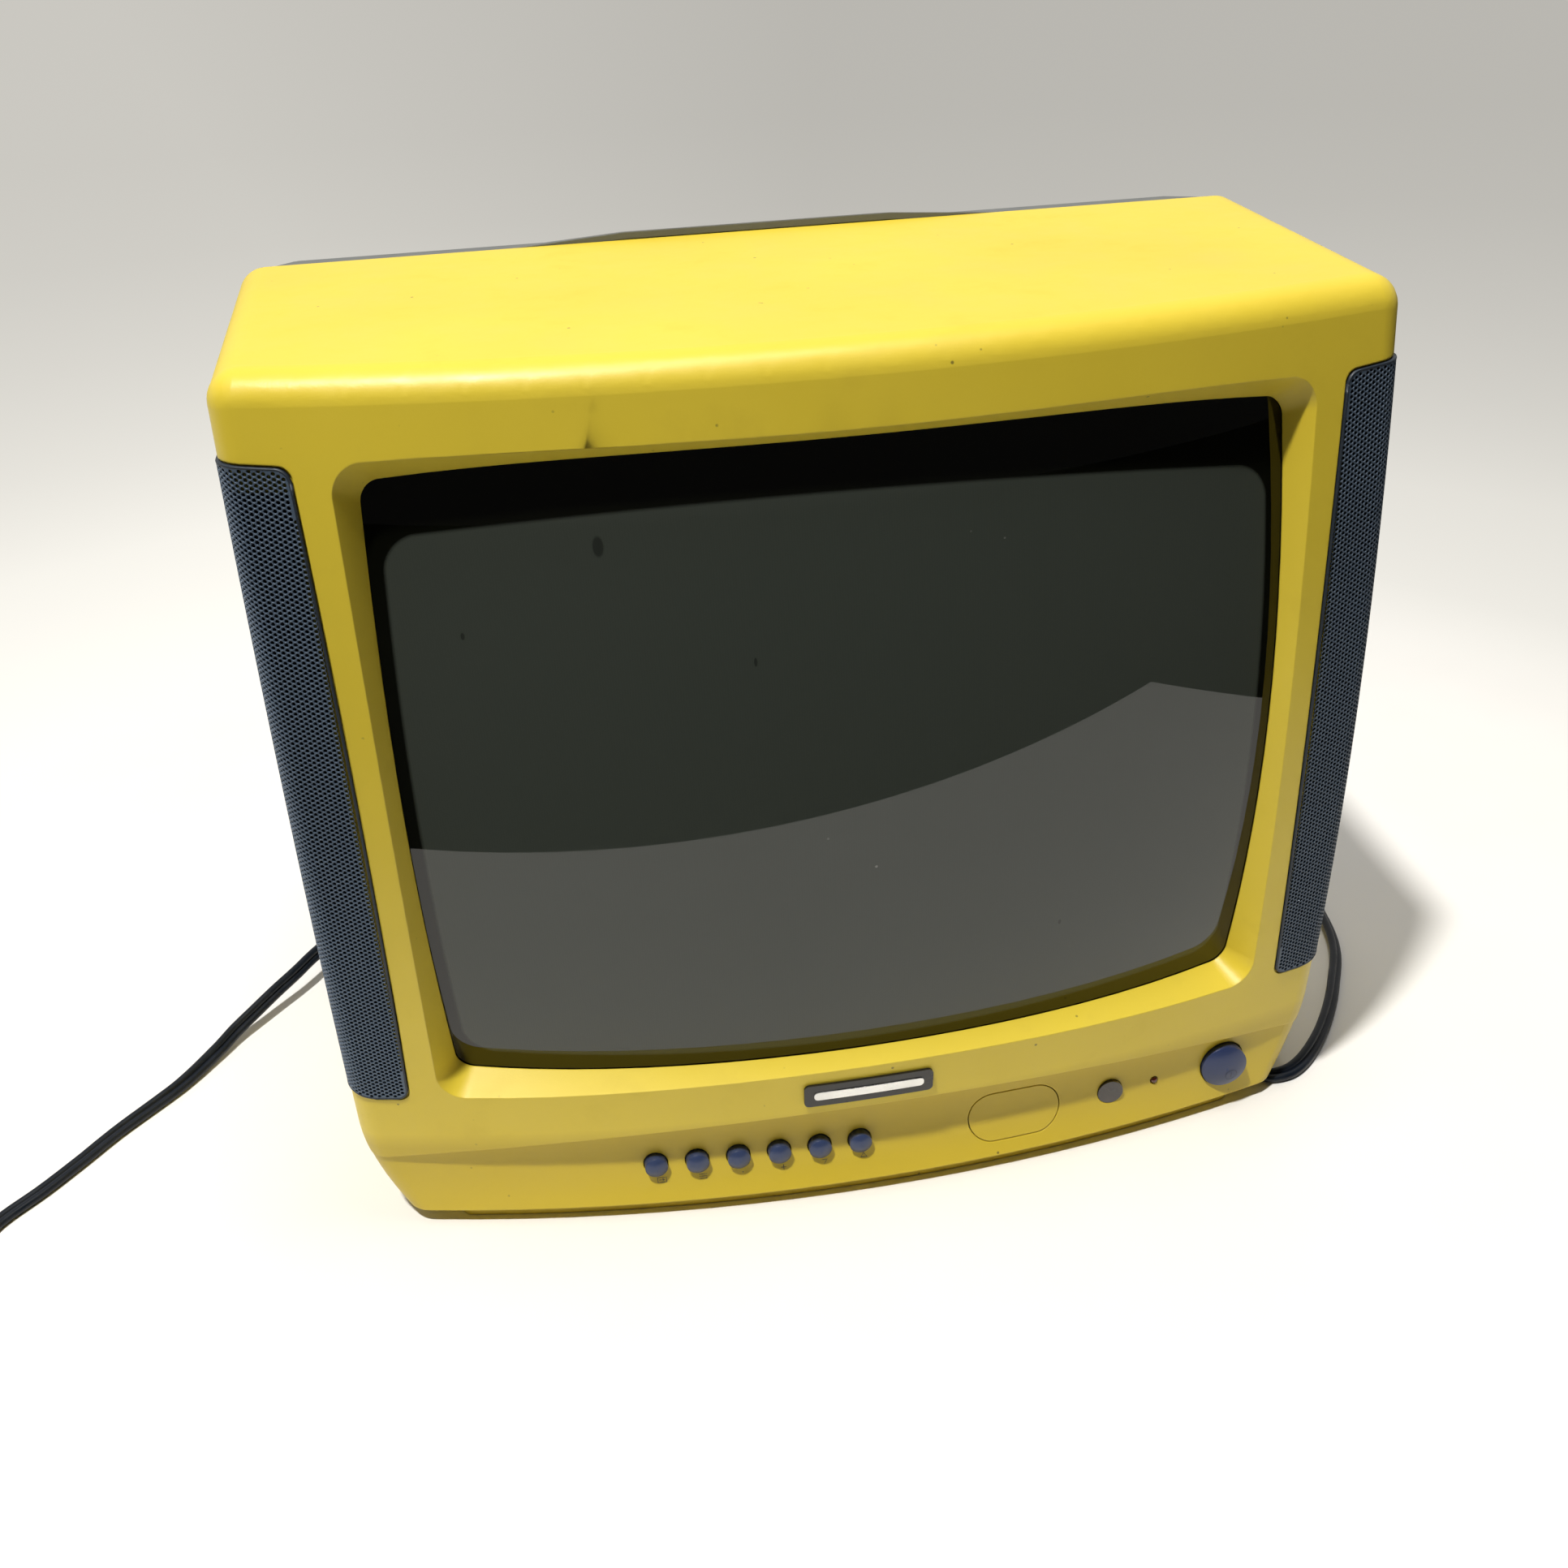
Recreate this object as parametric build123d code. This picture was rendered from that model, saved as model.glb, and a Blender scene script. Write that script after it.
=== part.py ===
from build123d import *
import os
from itertools import pairwise
from math import atan2, degrees, sqrt

# Portable 14 inch colour television, every piece as its own solid.
# X runs to the right seen from the front, Y backwards, Z up; millimetres.
# It is drawn with y = 0 at the front-most point of the face. save() moves every
# piece forwards, so the origin is the middle of the front plinth's resting face.

# ---- front cabinet ----
FRONT_DEPTH = 168.0        # from the front-most point to the rear rim
HALF_WIDTH = 180.1         # at the face
SIDE_DRAFT = 5.6 / 168     # growth of the half width per millimetre of depth
TOP_Z = 313.3              # top of the cabinet at the face
TOP_DRAFT = 5.5 / 168
LOW_Z = 6.0                # underside of the cabinet, above the plinth
WAIST_Z = 45.0             # below this the sides curve inwards
FOOT_HALF_WIDTH = 168.0    # half width at the underside
WALL = 3.0
CROWN_RADIUS = 10.5        # rounding between the top and the face
CORNER_RADIUS = 10.5       # rounding of the sides into the face and the top
FACE_MID_Z = 173.0         # height of the front-most point
FACE_ACROSS = 709.0        # radius of the face seen from above
FACE_UP = 1118.0           # radius of the face seen from the side
CLEAR = 0.3                # general gap between fitted pieces

# ---- control panel below the crease ----
CREASE_Z = 41.3            # height of the crease in the middle
CREASE_RADIUS = 1497.0
# height, depth in the middle, radius seen from above
PANEL_LEVELS = [(45.0, 12.8, 900.0), (21.0, 14.0, 850.0), (6.0, 8.5, 683.0)]
CONTROL_Z = 21.0           # height of the row of controls
BUTTON_PITCH = 15.05
FIRST_BUTTON_X = -77.6
BUTTON_COUNT = 6
BUTTON_RADIUS = 4.15
POWER_X = 144.0
POWER_RADIUS = 9.0
RUNNING_GAP = 0.35         # radial gap of a button in its hole
INFRARED_X = 96.2
LAMP_X = 114.8
BLANK_X = 57.4
BLANK_SIZE = (36.4, 20.0)

# ---- screen opening and picture tube ----
OPENING_HALF = 143.0       # half width of the opening at its corners
OPENING_TOP = 281.6
OPENING_BOTTOM = 66.4
SIDE_BARREL = 2.6          # how much each side of the opening bows outwards
TOP_BARREL = 4.1
BOTTOM_BARREL = 3.2
BEVEL_HALF = 149.8         # outer edge of the bevel, on the face
BEVEL_TOP = 289.9
BEVEL_BOTTOM = 60.6
SCREEN_RADIUS = 570.0
SCREEN_Y = 3.2             # front-most point of the glass
SCREEN_Z = 174.0
GLASS_HALF = 152.0
GLASS_TALL = 116.0         # half height of the glass panel
GLASS_THICK = 11.0
NECK_RADIUS = 14.5
NECK_END = 322.0

# ---- grilles ----
GRILLE_PROUD = 0.5
GRILLE_THICK = 1.6
GRILLE_CORNER = 9.5
GRILLE_BACK = 48.0         # how far the grille runs back along the side

# ---- speakers ----
SPEAKER_X = 167.0
SPEAKER_Z = 172.0

# ---- chassis ----
BOARD_Z = 24.0             # underside of the main board
BOARD_THICK = 1.6
BOARD_TOP = BOARD_Z + BOARD_THICK
BOARD_SCREWS = [(x, y) for x in (-99.5, 99.5) for y in (110.0, 320.0)]
AERIAL_X = 61.0
AV_XS = [-16.0, 2.0, 20.0]
SOCKET_Z = BOARD_TOP + 11
# x, y, radius, height
CAPACITORS = [(-50, 250, 15, 44), (-22, 246, 6.5, 20), (-6, 262, 5, 16), (14, 250, 6.5, 22),
              (30, 232, 4, 12), (40, 250, 5, 16), (-60, 215, 5, 14), (52, 208, 6.5, 20)]
# x, y, length, width
CHIPS = [(-30, 140, 55, 15), (35, 138, 35, 12), (70, 150, 20, 8), (40, 178, 25, 10)]

# ---- rear cover ----
COVER_WALL = 2.5
COVER_BACK = 368.0
COVER_FRONT = FRONT_DEPTH + 0.2
# depth, half width, half width at the underside, underside, waist, top, top corner radius
COVER_LEVELS = [
    (COVER_FRONT, 184.3, 172.2, 7.4, 45.0, 318.4, 11.0),
    (196.0, 180.5, 169.0, 7.4, 45.0, 315.2, 14.0),
    (300.0, 128.0, 118.0, 8.4, 40.0, 240.0, 24.0),
    (COVER_BACK, 112.0, 104.0, 9.4, 38.0, 214.0, 20.0),
]
# the raised middle: depth, half width at the base, foot, side, half width of the crest, crest
RIDGE_LEVELS = [
    (COVER_FRONT, 97.0, 290.0, 318.2, 49.0, 321.5),
    (196.0, 93.0, 272.0, 314.2, 48.0, 317.0),
    (340.0, 66.0, 190.0, 258.0, 44.0, 264.0),
]

# ---- plinth and feet ----
PLINTH_HALF = 150.0
PLINTH_FRONT = 13.0        # depth of the plinth's front edge in the middle
PLINTH_DEPTH = 12.0
ORIGIN_Y = PLINTH_FRONT + PLINTH_DEPTH / 2
FOOT_SPOTS = [(-92.0, 300.0), (92.0, 300.0)]
TUBE_POSTS = [(x, z) for x in (-158.5, 158.5) for z in (54.0, 295.5)]
COVER_POSTS = [(x, z) for x in (-177.0, 177.0) for z in (75.0, 265.0)]

# ---- mains cord ----
CORD_X = 92.0
CORD_Z = 36.0
CORE_RADIUS = 1.6
CORE_OFFSET = 1.75         # of each core, sideways from the middle of the cord
CORD_LIE = 1.75            # height of the cord's middle where it lies on the table
CORD_EXIT = [(CORD_X, 350, CORD_Z), (CORD_X, 375, CORD_Z), (CORD_X, 413, CORD_LIE)]
# x, y where it lies on the table
CORD_ROUTE = [
    (106, 427), (140, 428), (172, 412), (205, 370), (240, 290), (248, 200), (241, 128), (223, 87),
    (198, 52), (176, 36), (160, 48), (130, 110), (40, 175), (-80, 215), (-160, 235), (-203, 226),
    (-231, 182), (-257, 134), (-284, 105), (-308, 71), (-326, 50),
]

# ---- behind the buttons ----
BUTTON_TRAVEL = 0.8
KEY_BOARD_Y = 32.0         # front of the board behind the buttons
KEY_BOARD_SCREWS = (-88.0, 20.0, 86.0)
NIB_END = 26.6             # back of each button's nib at rest
POWER_COLLAR_END = 33.6
SWITCH_FRONT = 43.0

BUTTON_XS = [FIRST_BUTTON_X + BUTTON_PITCH * i for i in range(BUTTON_COUNT)]
BEHIND = (0, 1, 0)


def save(node, *pieces):
    """Writes one node: a single solid, or a group of separate ones."""
    moved = [Pos(0, -ORIGIN_Y, 0) * piece for piece in pieces]
    shape = moved[0] if len(moved) == 1 else Compound(children=moved)
    export_step(shape, os.path.join("parts", node + ".step"))


def block(x, y, z):
    """A block from three (low, high) pairs."""
    size = [high - low for low, high in (x, y, z)]
    return Pos((x[0] + x[1]) / 2, (y[0] + y[1]) / 2, (z[0] + z[1]) / 2) * Box(*size)


def rod(x, z, y0, y1, radius):
    """A round rod along Y."""
    return Pos(x, (y0 + y1) / 2, z) * Rot(90, 0, 0) * Cylinder(radius, y1 - y0)


def post(x, y, z0, z1, radius):
    """A round rod along Z."""
    return Pos(x, y, (z0 + z1) / 2) * Cylinder(radius, z1 - z0)


def facing(y):
    """The plane at depth y whose own x and y are X and Z."""
    return Plane((0, y, 0), x_dir=(1, 0, 0), z_dir=(0, -1, 0))


def from_above(z):
    """The level plane at height z."""
    return Plane((0, 0, z))


def slab(face, y0, y1):
    """A face drawn in X and Z, carried from depth y0 to depth y1."""
    return extrude(facing(y0) * face, amount=y1 - y0, dir=BEHIND)


def sag(x, radius):
    """Depth of a round surface away from its front-most point."""
    return radius - sqrt(radius * radius - x * x)


# ---------------------------------------------------------------- cabinet shapes

def upright_outline(half, foot, low, waist, top):
    """Flat sides and top; below the waist the sides curl in towards the underside."""
    return make_face([
        Line((-half, top), (half, top)),
        Line((half, top), (half, waist)),
        TangentArc((half, waist), (foot, low), tangent=(0, -1)),
        Line((foot, low), (-foot, low)),
        TangentArc((-half, waist), (-foot, low), tangent=(0, -1)),
        Line((-half, waist), (-half, top)),
    ])


def cabinet_section(y, inset):
    half = HALF_WIDTH + SIDE_DRAFT * y - inset
    foot = FOOT_HALF_WIDTH + SIDE_DRAFT * y - inset
    top = TOP_Z + TOP_DRAFT * y - inset
    return facing(y) * upright_outline(half, foot, LOW_Z + inset, WAIST_Z, top)


def cabinet_prism(inset):
    """The cabinet's outline seen from the front, growing backwards."""
    return loft([cabinet_section(-30, inset), cabinet_section(FRONT_DEPTH, inset)], ruled=True)


def behind_face(inset):
    """All space behind the front face, which curves both ways."""
    reach = 230.0
    edge = FACE_UP - sqrt((FACE_UP - inset) ** 2 - reach ** 2)
    low = (edge, FACE_MID_Z - reach)
    high = (edge, FACE_MID_Z + reach)
    outline = [
        ThreePointArc(low, (inset, FACE_MID_Z), high),
        Line(high, (FACE_ACROSS, high[1])),
        Line((FACE_ACROSS, high[1]), (FACE_ACROSS, low[1])),
        Line((FACE_ACROSS, low[1]), low),
    ]
    return revolve(Plane.YZ * make_face(outline), Axis((0, FACE_ACROSS, 0), (0, 0, 1)), 360)


def side_edges(shape, inset):
    """The edges round both side faces, without the rim and the underside."""
    chosen = []
    for edge in shape.edges():
        middle = edge @ 0.5
        at_side = abs(middle.X) > 155 - inset
        on_rim = middle.Y > FRONT_DEPTH - 1
        at_foot = middle.Z < LOW_Z + inset + 1
        at_waist = abs(middle.Z - WAIST_Z) < 1 and edge.length > 60
        if at_side and not (on_rim or at_foot or at_waist):
            chosen.append(edge)
    return chosen


def upper_body(inset, corner):
    """The cabinet with its curved face, before the control panel is set back."""
    body = cabinet_prism(inset) & behind_face(inset)
    crown = [e for e in body.edges()
             if (e @ 0.5).Z > TOP_Z - 12 and (e @ 0.5).Y < 30 and abs((e @ 0.5).X) < 1]
    body = fillet(crown, CROWN_RADIUS - inset)
    return fillet(side_edges(body, inset), corner)


def panel_depth(x, z):
    """Depth of the control panel's face: a parabola through the three stated levels."""
    levels = [(height, depth + sag(x, radius)) for height, depth, radius in PANEL_LEVELS]
    depth = 0.0
    for height, at_height in levels:
        others = [other for other, _ in levels if other != height]
        share = (z - others[0]) * (z - others[1])
        share /= (height - others[0]) * (height - others[1])
        depth += at_height * share
    return depth


def side_x(y, z, inset):
    """Half width of the cabinet at one depth and height."""
    curl_radius = (WAIST_Z - LOW_Z) ** 2 / 24 + 6
    below = max(0.0, WAIST_Z - z)
    return HALF_WIDTH + SIDE_DRAFT * y - inset - sag(below, curl_radius)


def panel_level(z, inset, corner):
    """The lower cabinet's outline seen from above at one height, with rounded front corners."""
    back = FRONT_DEPTH
    front = back
    for _ in range(8):
        half = side_x(front, z, inset)
        front = panel_depth(half, z) + inset
    rear = side_x(back, z, inset)
    outline = [
        ThreePointArc((-half, front), (0, panel_depth(0, z) + inset), (half, front)),
        Line((half, front), (rear, back)),
        Line((rear, back), (-rear, back)),
        Line((-rear, back), (-half, front)),
    ]
    level = from_above(z) * make_face(outline)
    corners = [v for v in level.vertices() if v.Y < back - 1]
    return fillet(corners, corner)


def panel_body(inset, corner):
    """The lower cabinet: its face is a shallow cove under the crease."""
    heights = [LOW_Z + inset, 13, CONTROL_Z, 33, WAIST_Z, 60]
    return loft([panel_level(z, inset, corner) for z in heights])


def above_crease(lift):
    """All space above the crease, which bows upwards in the middle."""
    reach = 230.0
    end = CREASE_Z + lift - sag(reach, CREASE_RADIUS)
    outline = [
        ThreePointArc((-reach, end), (0, CREASE_Z + lift), (reach, end)),
        Line((reach, end), (reach, 400)),
        Line((reach, 400), (-reach, 400)),
        Line((-reach, 400), (-reach, end)),
    ]
    return slab(make_face(outline), -40, 400)


def cabinet_walls(inset):
    """The whole cabinet as a solid, its skin moved inwards by inset."""
    corner = CORNER_RADIUS - inset
    crease = above_crease(inset)
    return (upper_body(inset, corner) & crease) + (panel_body(inset, corner) - crease)


# ---------------------------------------------------------------- screen opening

def bowed_outline(corner, middle, top, bottom, radius):
    """Four shallow arcs: corner and middle are half widths, top and bottom are
    (height at the corners, height in the middle)."""
    centre = (top[1] + bottom[1]) / 2
    face = make_face([
        ThreePointArc((corner, bottom[0]), (middle, centre), (corner, top[0])),
        ThreePointArc((corner, top[0]), (0, top[1]), (-corner, top[0])),
        ThreePointArc((-corner, top[0]), (-middle, centre), (-corner, bottom[0])),
        ThreePointArc((-corner, bottom[0]), (0, bottom[1]), (corner, bottom[0])),
    ])
    return fillet(face.vertices(), radius)


def face_depth(x, z):
    return x * x / (2 * FACE_ACROSS) + (z - FACE_MID_Z) ** 2 / (2 * FACE_UP)


def glass_depth(x, z):
    return SCREEN_Y - CLEAR + (x * x + (z - SCREEN_Z) ** 2) / (2 * SCREEN_RADIUS)


def down_bevel(outer, inner, y):
    """Where the straight line from the face's edge to the glass's edge crosses depth y."""
    start = face_depth(*outer)
    share = (y - start) / (glass_depth(*inner) - start)
    return [a + (b - a) * share for a, b in zip(outer, inner)]


def bevel_outline(y, grow):
    """The bevelled opening's outline at one depth."""
    side = (OPENING_HALF + SIDE_BARREL, SCREEN_Z)
    middle = down_bevel((BEVEL_HALF, SCREEN_Z), side, y)[0]
    corner, top = down_bevel((BEVEL_HALF, BEVEL_TOP), (OPENING_HALF, OPENING_TOP), y)
    _, top_middle = down_bevel((0, BEVEL_TOP), (0, OPENING_TOP + TOP_BARREL), y)
    _, low = down_bevel((BEVEL_HALF, BEVEL_BOTTOM), (OPENING_HALF, OPENING_BOTTOM), y)
    _, low_middle = down_bevel((0, BEVEL_BOTTOM), (0, OPENING_BOTTOM - BOTTOM_BARREL), y)
    radius = 8.7 - 0.33 * (y - 22) + grow
    tops = (top + grow, top_middle + grow)
    lows = (low - grow, low_middle - grow)
    return facing(y) * bowed_outline(corner + grow, middle + grow, tops, lows, radius)


def bevel_funnel(grow):
    return loft([bevel_outline(-10, grow), bevel_outline(42, grow)], ruled=True)


def glass_ball(radius):
    """The ball whose front is the tube's face."""
    return Pos(0, SCREEN_Y + SCREEN_RADIUS, SCREEN_Z) * Sphere(radius)


# ---------------------------------------------------------------- front cabinet

def grille_window(gap):
    """The right grille's outline seen from the front."""
    inner = 160.4 - gap
    top = 288.4 + gap
    low = 60.8 - gap
    face = make_face([
        ThreePointArc((inner, low), (inner - 2.2, SCREEN_Z), (inner, top)),
        Line((inner, top), (200, top + 2.8)),
        Line((200, top + 2.8), (200, low + 14)),
        ThreePointArc((200, low + 14), (184, low + 4.2), (172, low)),
        Line((172, low), (inner, low)),
    ])
    corners = [v for v in face.vertices() if v.X < inner + 1]
    return fillet(corners, 4.2)


def both_sides(piece):
    return [piece, mirror(piece, about=Plane.YZ)]


def grille_pocket():
    """The step the right grille sits in, with a thin gap round it."""
    floor = upper_body(GRILLE_THICK - GRILLE_PROUD + 0.1, GRILLE_CORNER - GRILLE_THICK)
    return slab(grille_window(0.35), -20, GRILLE_BACK + 0.35) - floor


def stadium(x, z, length, height):
    return Pos(x, z) * SlotOverall(length, height)


def control_holes():
    holes = [rod(x, CONTROL_Z, -5, 45, BUTTON_RADIUS + RUNNING_GAP) for x in BUTTON_XS]
    holes.append(rod(POWER_X, CONTROL_Z, 0, 45, POWER_RADIUS + RUNNING_GAP))
    holes.append(rod(INFRARED_X, CONTROL_Z, 0, 45, 5.1))
    holes.append(rod(LAMP_X, CONTROL_Z, 0, 45, 1.65))
    holes.append(slab(stadium(BLANK_X, CONTROL_Z, *BLANK_SIZE), 0, 45))
    return holes


def plinth():
    """The raised strip under the face that the front stands on."""
    rear = PLINTH_FRONT + PLINTH_DEPTH
    bow = sag(PLINTH_HALF, PANEL_LEVELS[2][2])
    ends = [(-PLINTH_HALF, bow), (PLINTH_HALF, bow)]
    front = [(x, y + PLINTH_FRONT) for x, y in ends]
    back = [(x, y + rear) for x, y in ends]
    face = make_face([
        ThreePointArc(front[0], (0, PLINTH_FRONT), front[1]),
        Line(front[1], back[1]),
        ThreePointArc(back[1], (0, rear), back[0]),
        Line(back[0], front[0]),
    ])
    return extrude(fillet(face.vertices(), 4.5), amount=LOW_Z + 1.5)


def front_cabinet():
    outer = cabinet_walls(0)
    shell = outer - cabinet_walls(WALL)
    shell += (bevel_funnel(WALL) & outer) - glass_ball(SCREEN_RADIUS + CLEAR)
    inside = upper_body(1, CORNER_RADIUS - 1)
    for x, z in TUBE_POSTS:
        shell += rod(x, z, 20, 46, 5) & inside
    for x, z in COVER_POSTS:
        shell += rod(x, z, 125, 166, 5.5) & inside
    shell += plinth()
    shell -= bevel_funnel(0)
    for x, z in TUBE_POSTS:
        shell -= rod(x, z, 32, 50, 1.5)
    for x, z in COVER_POSTS:
        shell -= rod(x, z, 148, 170, 1.5)
    shell -= both_sides(grille_pocket())
    for row in range(9):
        z = 132 + 10 * row
        shell -= both_sides(block((163.5, 175), (-5, 60), (z, z + 5)))
    return shell - control_holes()


def grille():
    """The perforated strip round the right front corner, as a plain skin."""
    outer = upper_body(-GRILLE_PROUD, GRILLE_CORNER)
    inner = upper_body(GRILLE_THICK - GRILLE_PROUD, GRILLE_CORNER - GRILLE_THICK)
    return (outer - inner) & slab(grille_window(0), -20, GRILLE_BACK)


def badge_plate():
    outline = Pos(0, 50.5) * RectangleRounded(47, 10, 2)
    return slab(outline, -10, 20) & (behind_face(-1.1) - behind_face(-0.03))


def badge_stripe():
    outline = Pos(0, 50.5) * RectangleRounded(40, 3.6, 1.5)
    return slab(outline, -10, 20) & (behind_face(-1.5) - behind_face(-1.13))


# ---------------------------------------------------------------- controls

def domed_rod(x, front, back, radius, dome_radius):
    """A rod in the row of controls with a spherical front."""
    rim = front + dome_radius - sqrt(dome_radius ** 2 - radius ** 2)
    profile = make_face([
        ThreePointArc((front, 0), (front + sag(radius / 2, dome_radius), radius / 2), (rim, radius)),
        Line((rim, radius), (back, radius)),
        Line((back, radius), (back, 0)),
        Line((back, 0), (front, 0)),
    ])
    turned = revolve(Plane.YZ * profile, Axis((0, 0, 0), (0, 1, 0)), 360)
    return Pos(x, 0, CONTROL_Z) * turned


def control_button(x):
    """A domed cap with a collar behind the panel and a nib that presses its switch."""
    panel = panel_depth(x, CONTROL_Z)
    stem = domed_rod(x, panel - 4.2, panel + 5.4, BUTTON_RADIUS, 6.5)
    collar = rod(x, CONTROL_Z, panel + 5.2, panel + 6.4, 5.6)
    nib = rod(x, CONTROL_Z, panel + 6, NIB_END, 1.6)
    return stem + collar + nib


def power_button():
    """The large domed cap, its collar and the square plunger that works the mains switch."""
    panel = panel_depth(POWER_X, CONTROL_Z)
    stem = domed_rod(POWER_X, panel - 5, panel + 5.6, POWER_RADIUS, 20)
    collar = rod(POWER_X, CONTROL_Z, panel + 5.4, POWER_COLLAR_END, 10.6)
    plunger = block((POWER_X - 3, POWER_X + 3), (panel + 6, SWITCH_FRONT + 4),
                    (CONTROL_Z - 3, CONTROL_Z + 3))
    return stem + collar + plunger


def power_switch():
    """The latching mains switch behind the power button, open at the front for the plunger."""
    x = (POWER_X - 9, POWER_X + 9)
    body = block(x, (SWITCH_FRONT, SWITCH_FRONT + 26), (CONTROL_Z - 8, CONTROL_Z + 8))
    body -= block((POWER_X - 3.3, POWER_X + 3.3), (SWITCH_FRONT - 1, SWITCH_FRONT + 10),
                  (CONTROL_Z - 3.3, CONTROL_Z + 3.3))
    for side in (-5, 5):
        for level in (-4, 4):
            body += rod(POWER_X + side, CONTROL_Z + level, SWITCH_FRONT + 25, SWITCH_FRONT + 31, 0.8)
    return body


def power_spring():
    """The coil that pushes the power button back out."""
    start = POWER_COLLAR_END + 0.7
    length = SWITCH_FRONT - 0.7 - start
    coil = Helix(pitch=length / 3.5, height=length, radius=6.2)
    wire = sweep(Plane(coil @ 0, z_dir=coil % 0) * Circle(0.45), path=coil)
    return Pos(POWER_X, start, CONTROL_Z) * Rot(-90, 0, 0) * wire


def key_board():
    """The narrow board behind the row of controls."""
    board = block((-92, 124), (KEY_BOARD_Y, KEY_BOARD_Y + 1.6), (11.5, 32))
    for x in KEY_BOARD_SCREWS:
        board -= rod(x, 28, KEY_BOARD_Y - 1, KEY_BOARD_Y + 3, 1.6)
    return board


def key_board_screw(x):
    return screw(x, 28, KEY_BOARD_Y + 1.6, 8, 1.4, 2.8)


def screw(x, z, head_y, length, shank, head):
    """A round-headed screw driven forwards from behind, with a cross slot in its head."""
    body = rod(x, z, head_y - length, head_y, shank) + rod(x, z, head_y, head_y + 2, head)
    slot = block((x - head * 0.7, x + head * 0.7), (head_y + 1, head_y + 3), (z - 0.4, z + 0.4))
    cross = block((x - 0.4, x + 0.4), (head_y + 1, head_y + 3), (z - head * 0.7, z + head * 0.7))
    return body - slot - cross


def tact_switch(x):
    body = block((x - 3, x + 3), (KEY_BOARD_Y - 3.8, KEY_BOARD_Y), (CONTROL_Z - 3, CONTROL_Z + 3))
    return body + rod(x, CONTROL_Z, NIB_END + BUTTON_TRAVEL + 0.1, KEY_BOARD_Y - 3.8, 1.75)


def infrared_window():
    panel = panel_depth(INFRARED_X, CONTROL_Z)
    disc = rod(INFRARED_X, CONTROL_Z, panel - 0.9, panel + 5, 4.95)
    return disc + rod(INFRARED_X, CONTROL_Z, panel + 5, panel + 6, 6)


def infrared_receiver():
    body = block((INFRARED_X - 3, INFRARED_X + 3), (KEY_BOARD_Y - 4.5, KEY_BOARD_Y),
                 (CONTROL_Z - 3.5, CONTROL_Z + 3.5))
    return body + Pos(INFRARED_X, KEY_BOARD_Y - 4.5, CONTROL_Z) * Sphere(1.6)


def standby_lamp():
    panel = panel_depth(LAMP_X, CONTROL_Z)
    body = rod(LAMP_X, CONTROL_Z, panel + 0.6, KEY_BOARD_Y, 1.5)
    return body + Pos(LAMP_X, panel + 0.6, CONTROL_Z) * Sphere(1.5)


def blanking_insert():
    """The flush oval blank, held by a wider flange behind the panel."""
    length, height = BLANK_SIZE
    skin = slab(stadium(BLANK_X, CONTROL_Z, length - 0.8, height - 0.8), 0, 40)
    skin &= panel_body(0, CORNER_RADIUS) - panel_body(4.4, CORNER_RADIUS - 4.4)
    flange = slab(stadium(BLANK_X, CONTROL_Z, length + 2, height + 1), 0, 40)
    flange &= panel_body(WALL + 0.1, CORNER_RADIUS - 3.1) - panel_body(4.4, CORNER_RADIUS - 4.4)
    return skin + flange


# ---------------------------------------------------------------- picture tube

def glass_outline(shrink):
    half = GLASS_HALF - shrink
    tall = GLASS_TALL - shrink
    tops = (SCREEN_Z + tall - 3.5, SCREEN_Z + tall)
    lows = (SCREEN_Z - tall + 3.5, SCREEN_Z - tall)
    return bowed_outline(half - 2.5, half, tops, lows, 14)


def rounded(y, half, tall, radius):
    return facing(y) * Pos(0, SCREEN_Z) * RectangleRounded(2 * half, 2 * tall, radius)


def bulb(shrink, skirt_shrink, face_shrink):
    """The tube's shape: panel, funnel, cone and neck."""
    body = slab(glass_outline(skirt_shrink), 0, 72) & glass_ball(SCREEN_RADIUS - face_shrink)
    s = shrink
    body += loft([
        rounded(71, 150.5 - s, 114 - s, 18),
        rounded(118, 116 - s, 90 - s, 42),
        rounded(160, 66 - s, 56 - s, 44),
        rounded(190, 34 - s, 34 - s, 33.5 - s),
    ], ruled=True)
    cone = Pos(0, 206, SCREEN_Z) * Rot(-90, 0, 0) * Cone(34 - s, NECK_RADIUS - s * 0.6, 32)
    return body + cone + rod(0, SCREEN_Z, 220, NECK_END - s, NECK_RADIUS - s * 0.6)


def picture_tube():
    return bulb(0, 0, 0) - bulb(3, 9, GLASS_THICK)


def phosphor_screen():
    """The coating on the back of the tube's face."""
    skin = glass_ball(SCREEN_RADIUS - GLASS_THICK - 0.1) - glass_ball(SCREEN_RADIUS - GLASS_THICK - 0.6)
    return skin & slab(glass_outline(11.5), 0, 60)


def shadow_mask():
    """The perforated steel sheet behind the coating, on its frame."""
    sheet = glass_ball(SCREEN_RADIUS - 23) - glass_ball(SCREEN_RADIUS - 23.6)
    sheet &= slab(glass_outline(14), 0, 68)
    frame = slab(glass_outline(12.5), 30, 66) - slab(glass_outline(14.6), 20, 70)
    return sheet + (frame & glass_ball(SCREEN_RADIUS - 22))


def electron_gun():
    body = rod(0, SCREEN_Z, 236, 316, 6)
    for y in (240, 252, 262, 272, 290, 304):
        body += rod(0, SCREEN_Z, y, y + 5, 9.5)
    return body


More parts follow.
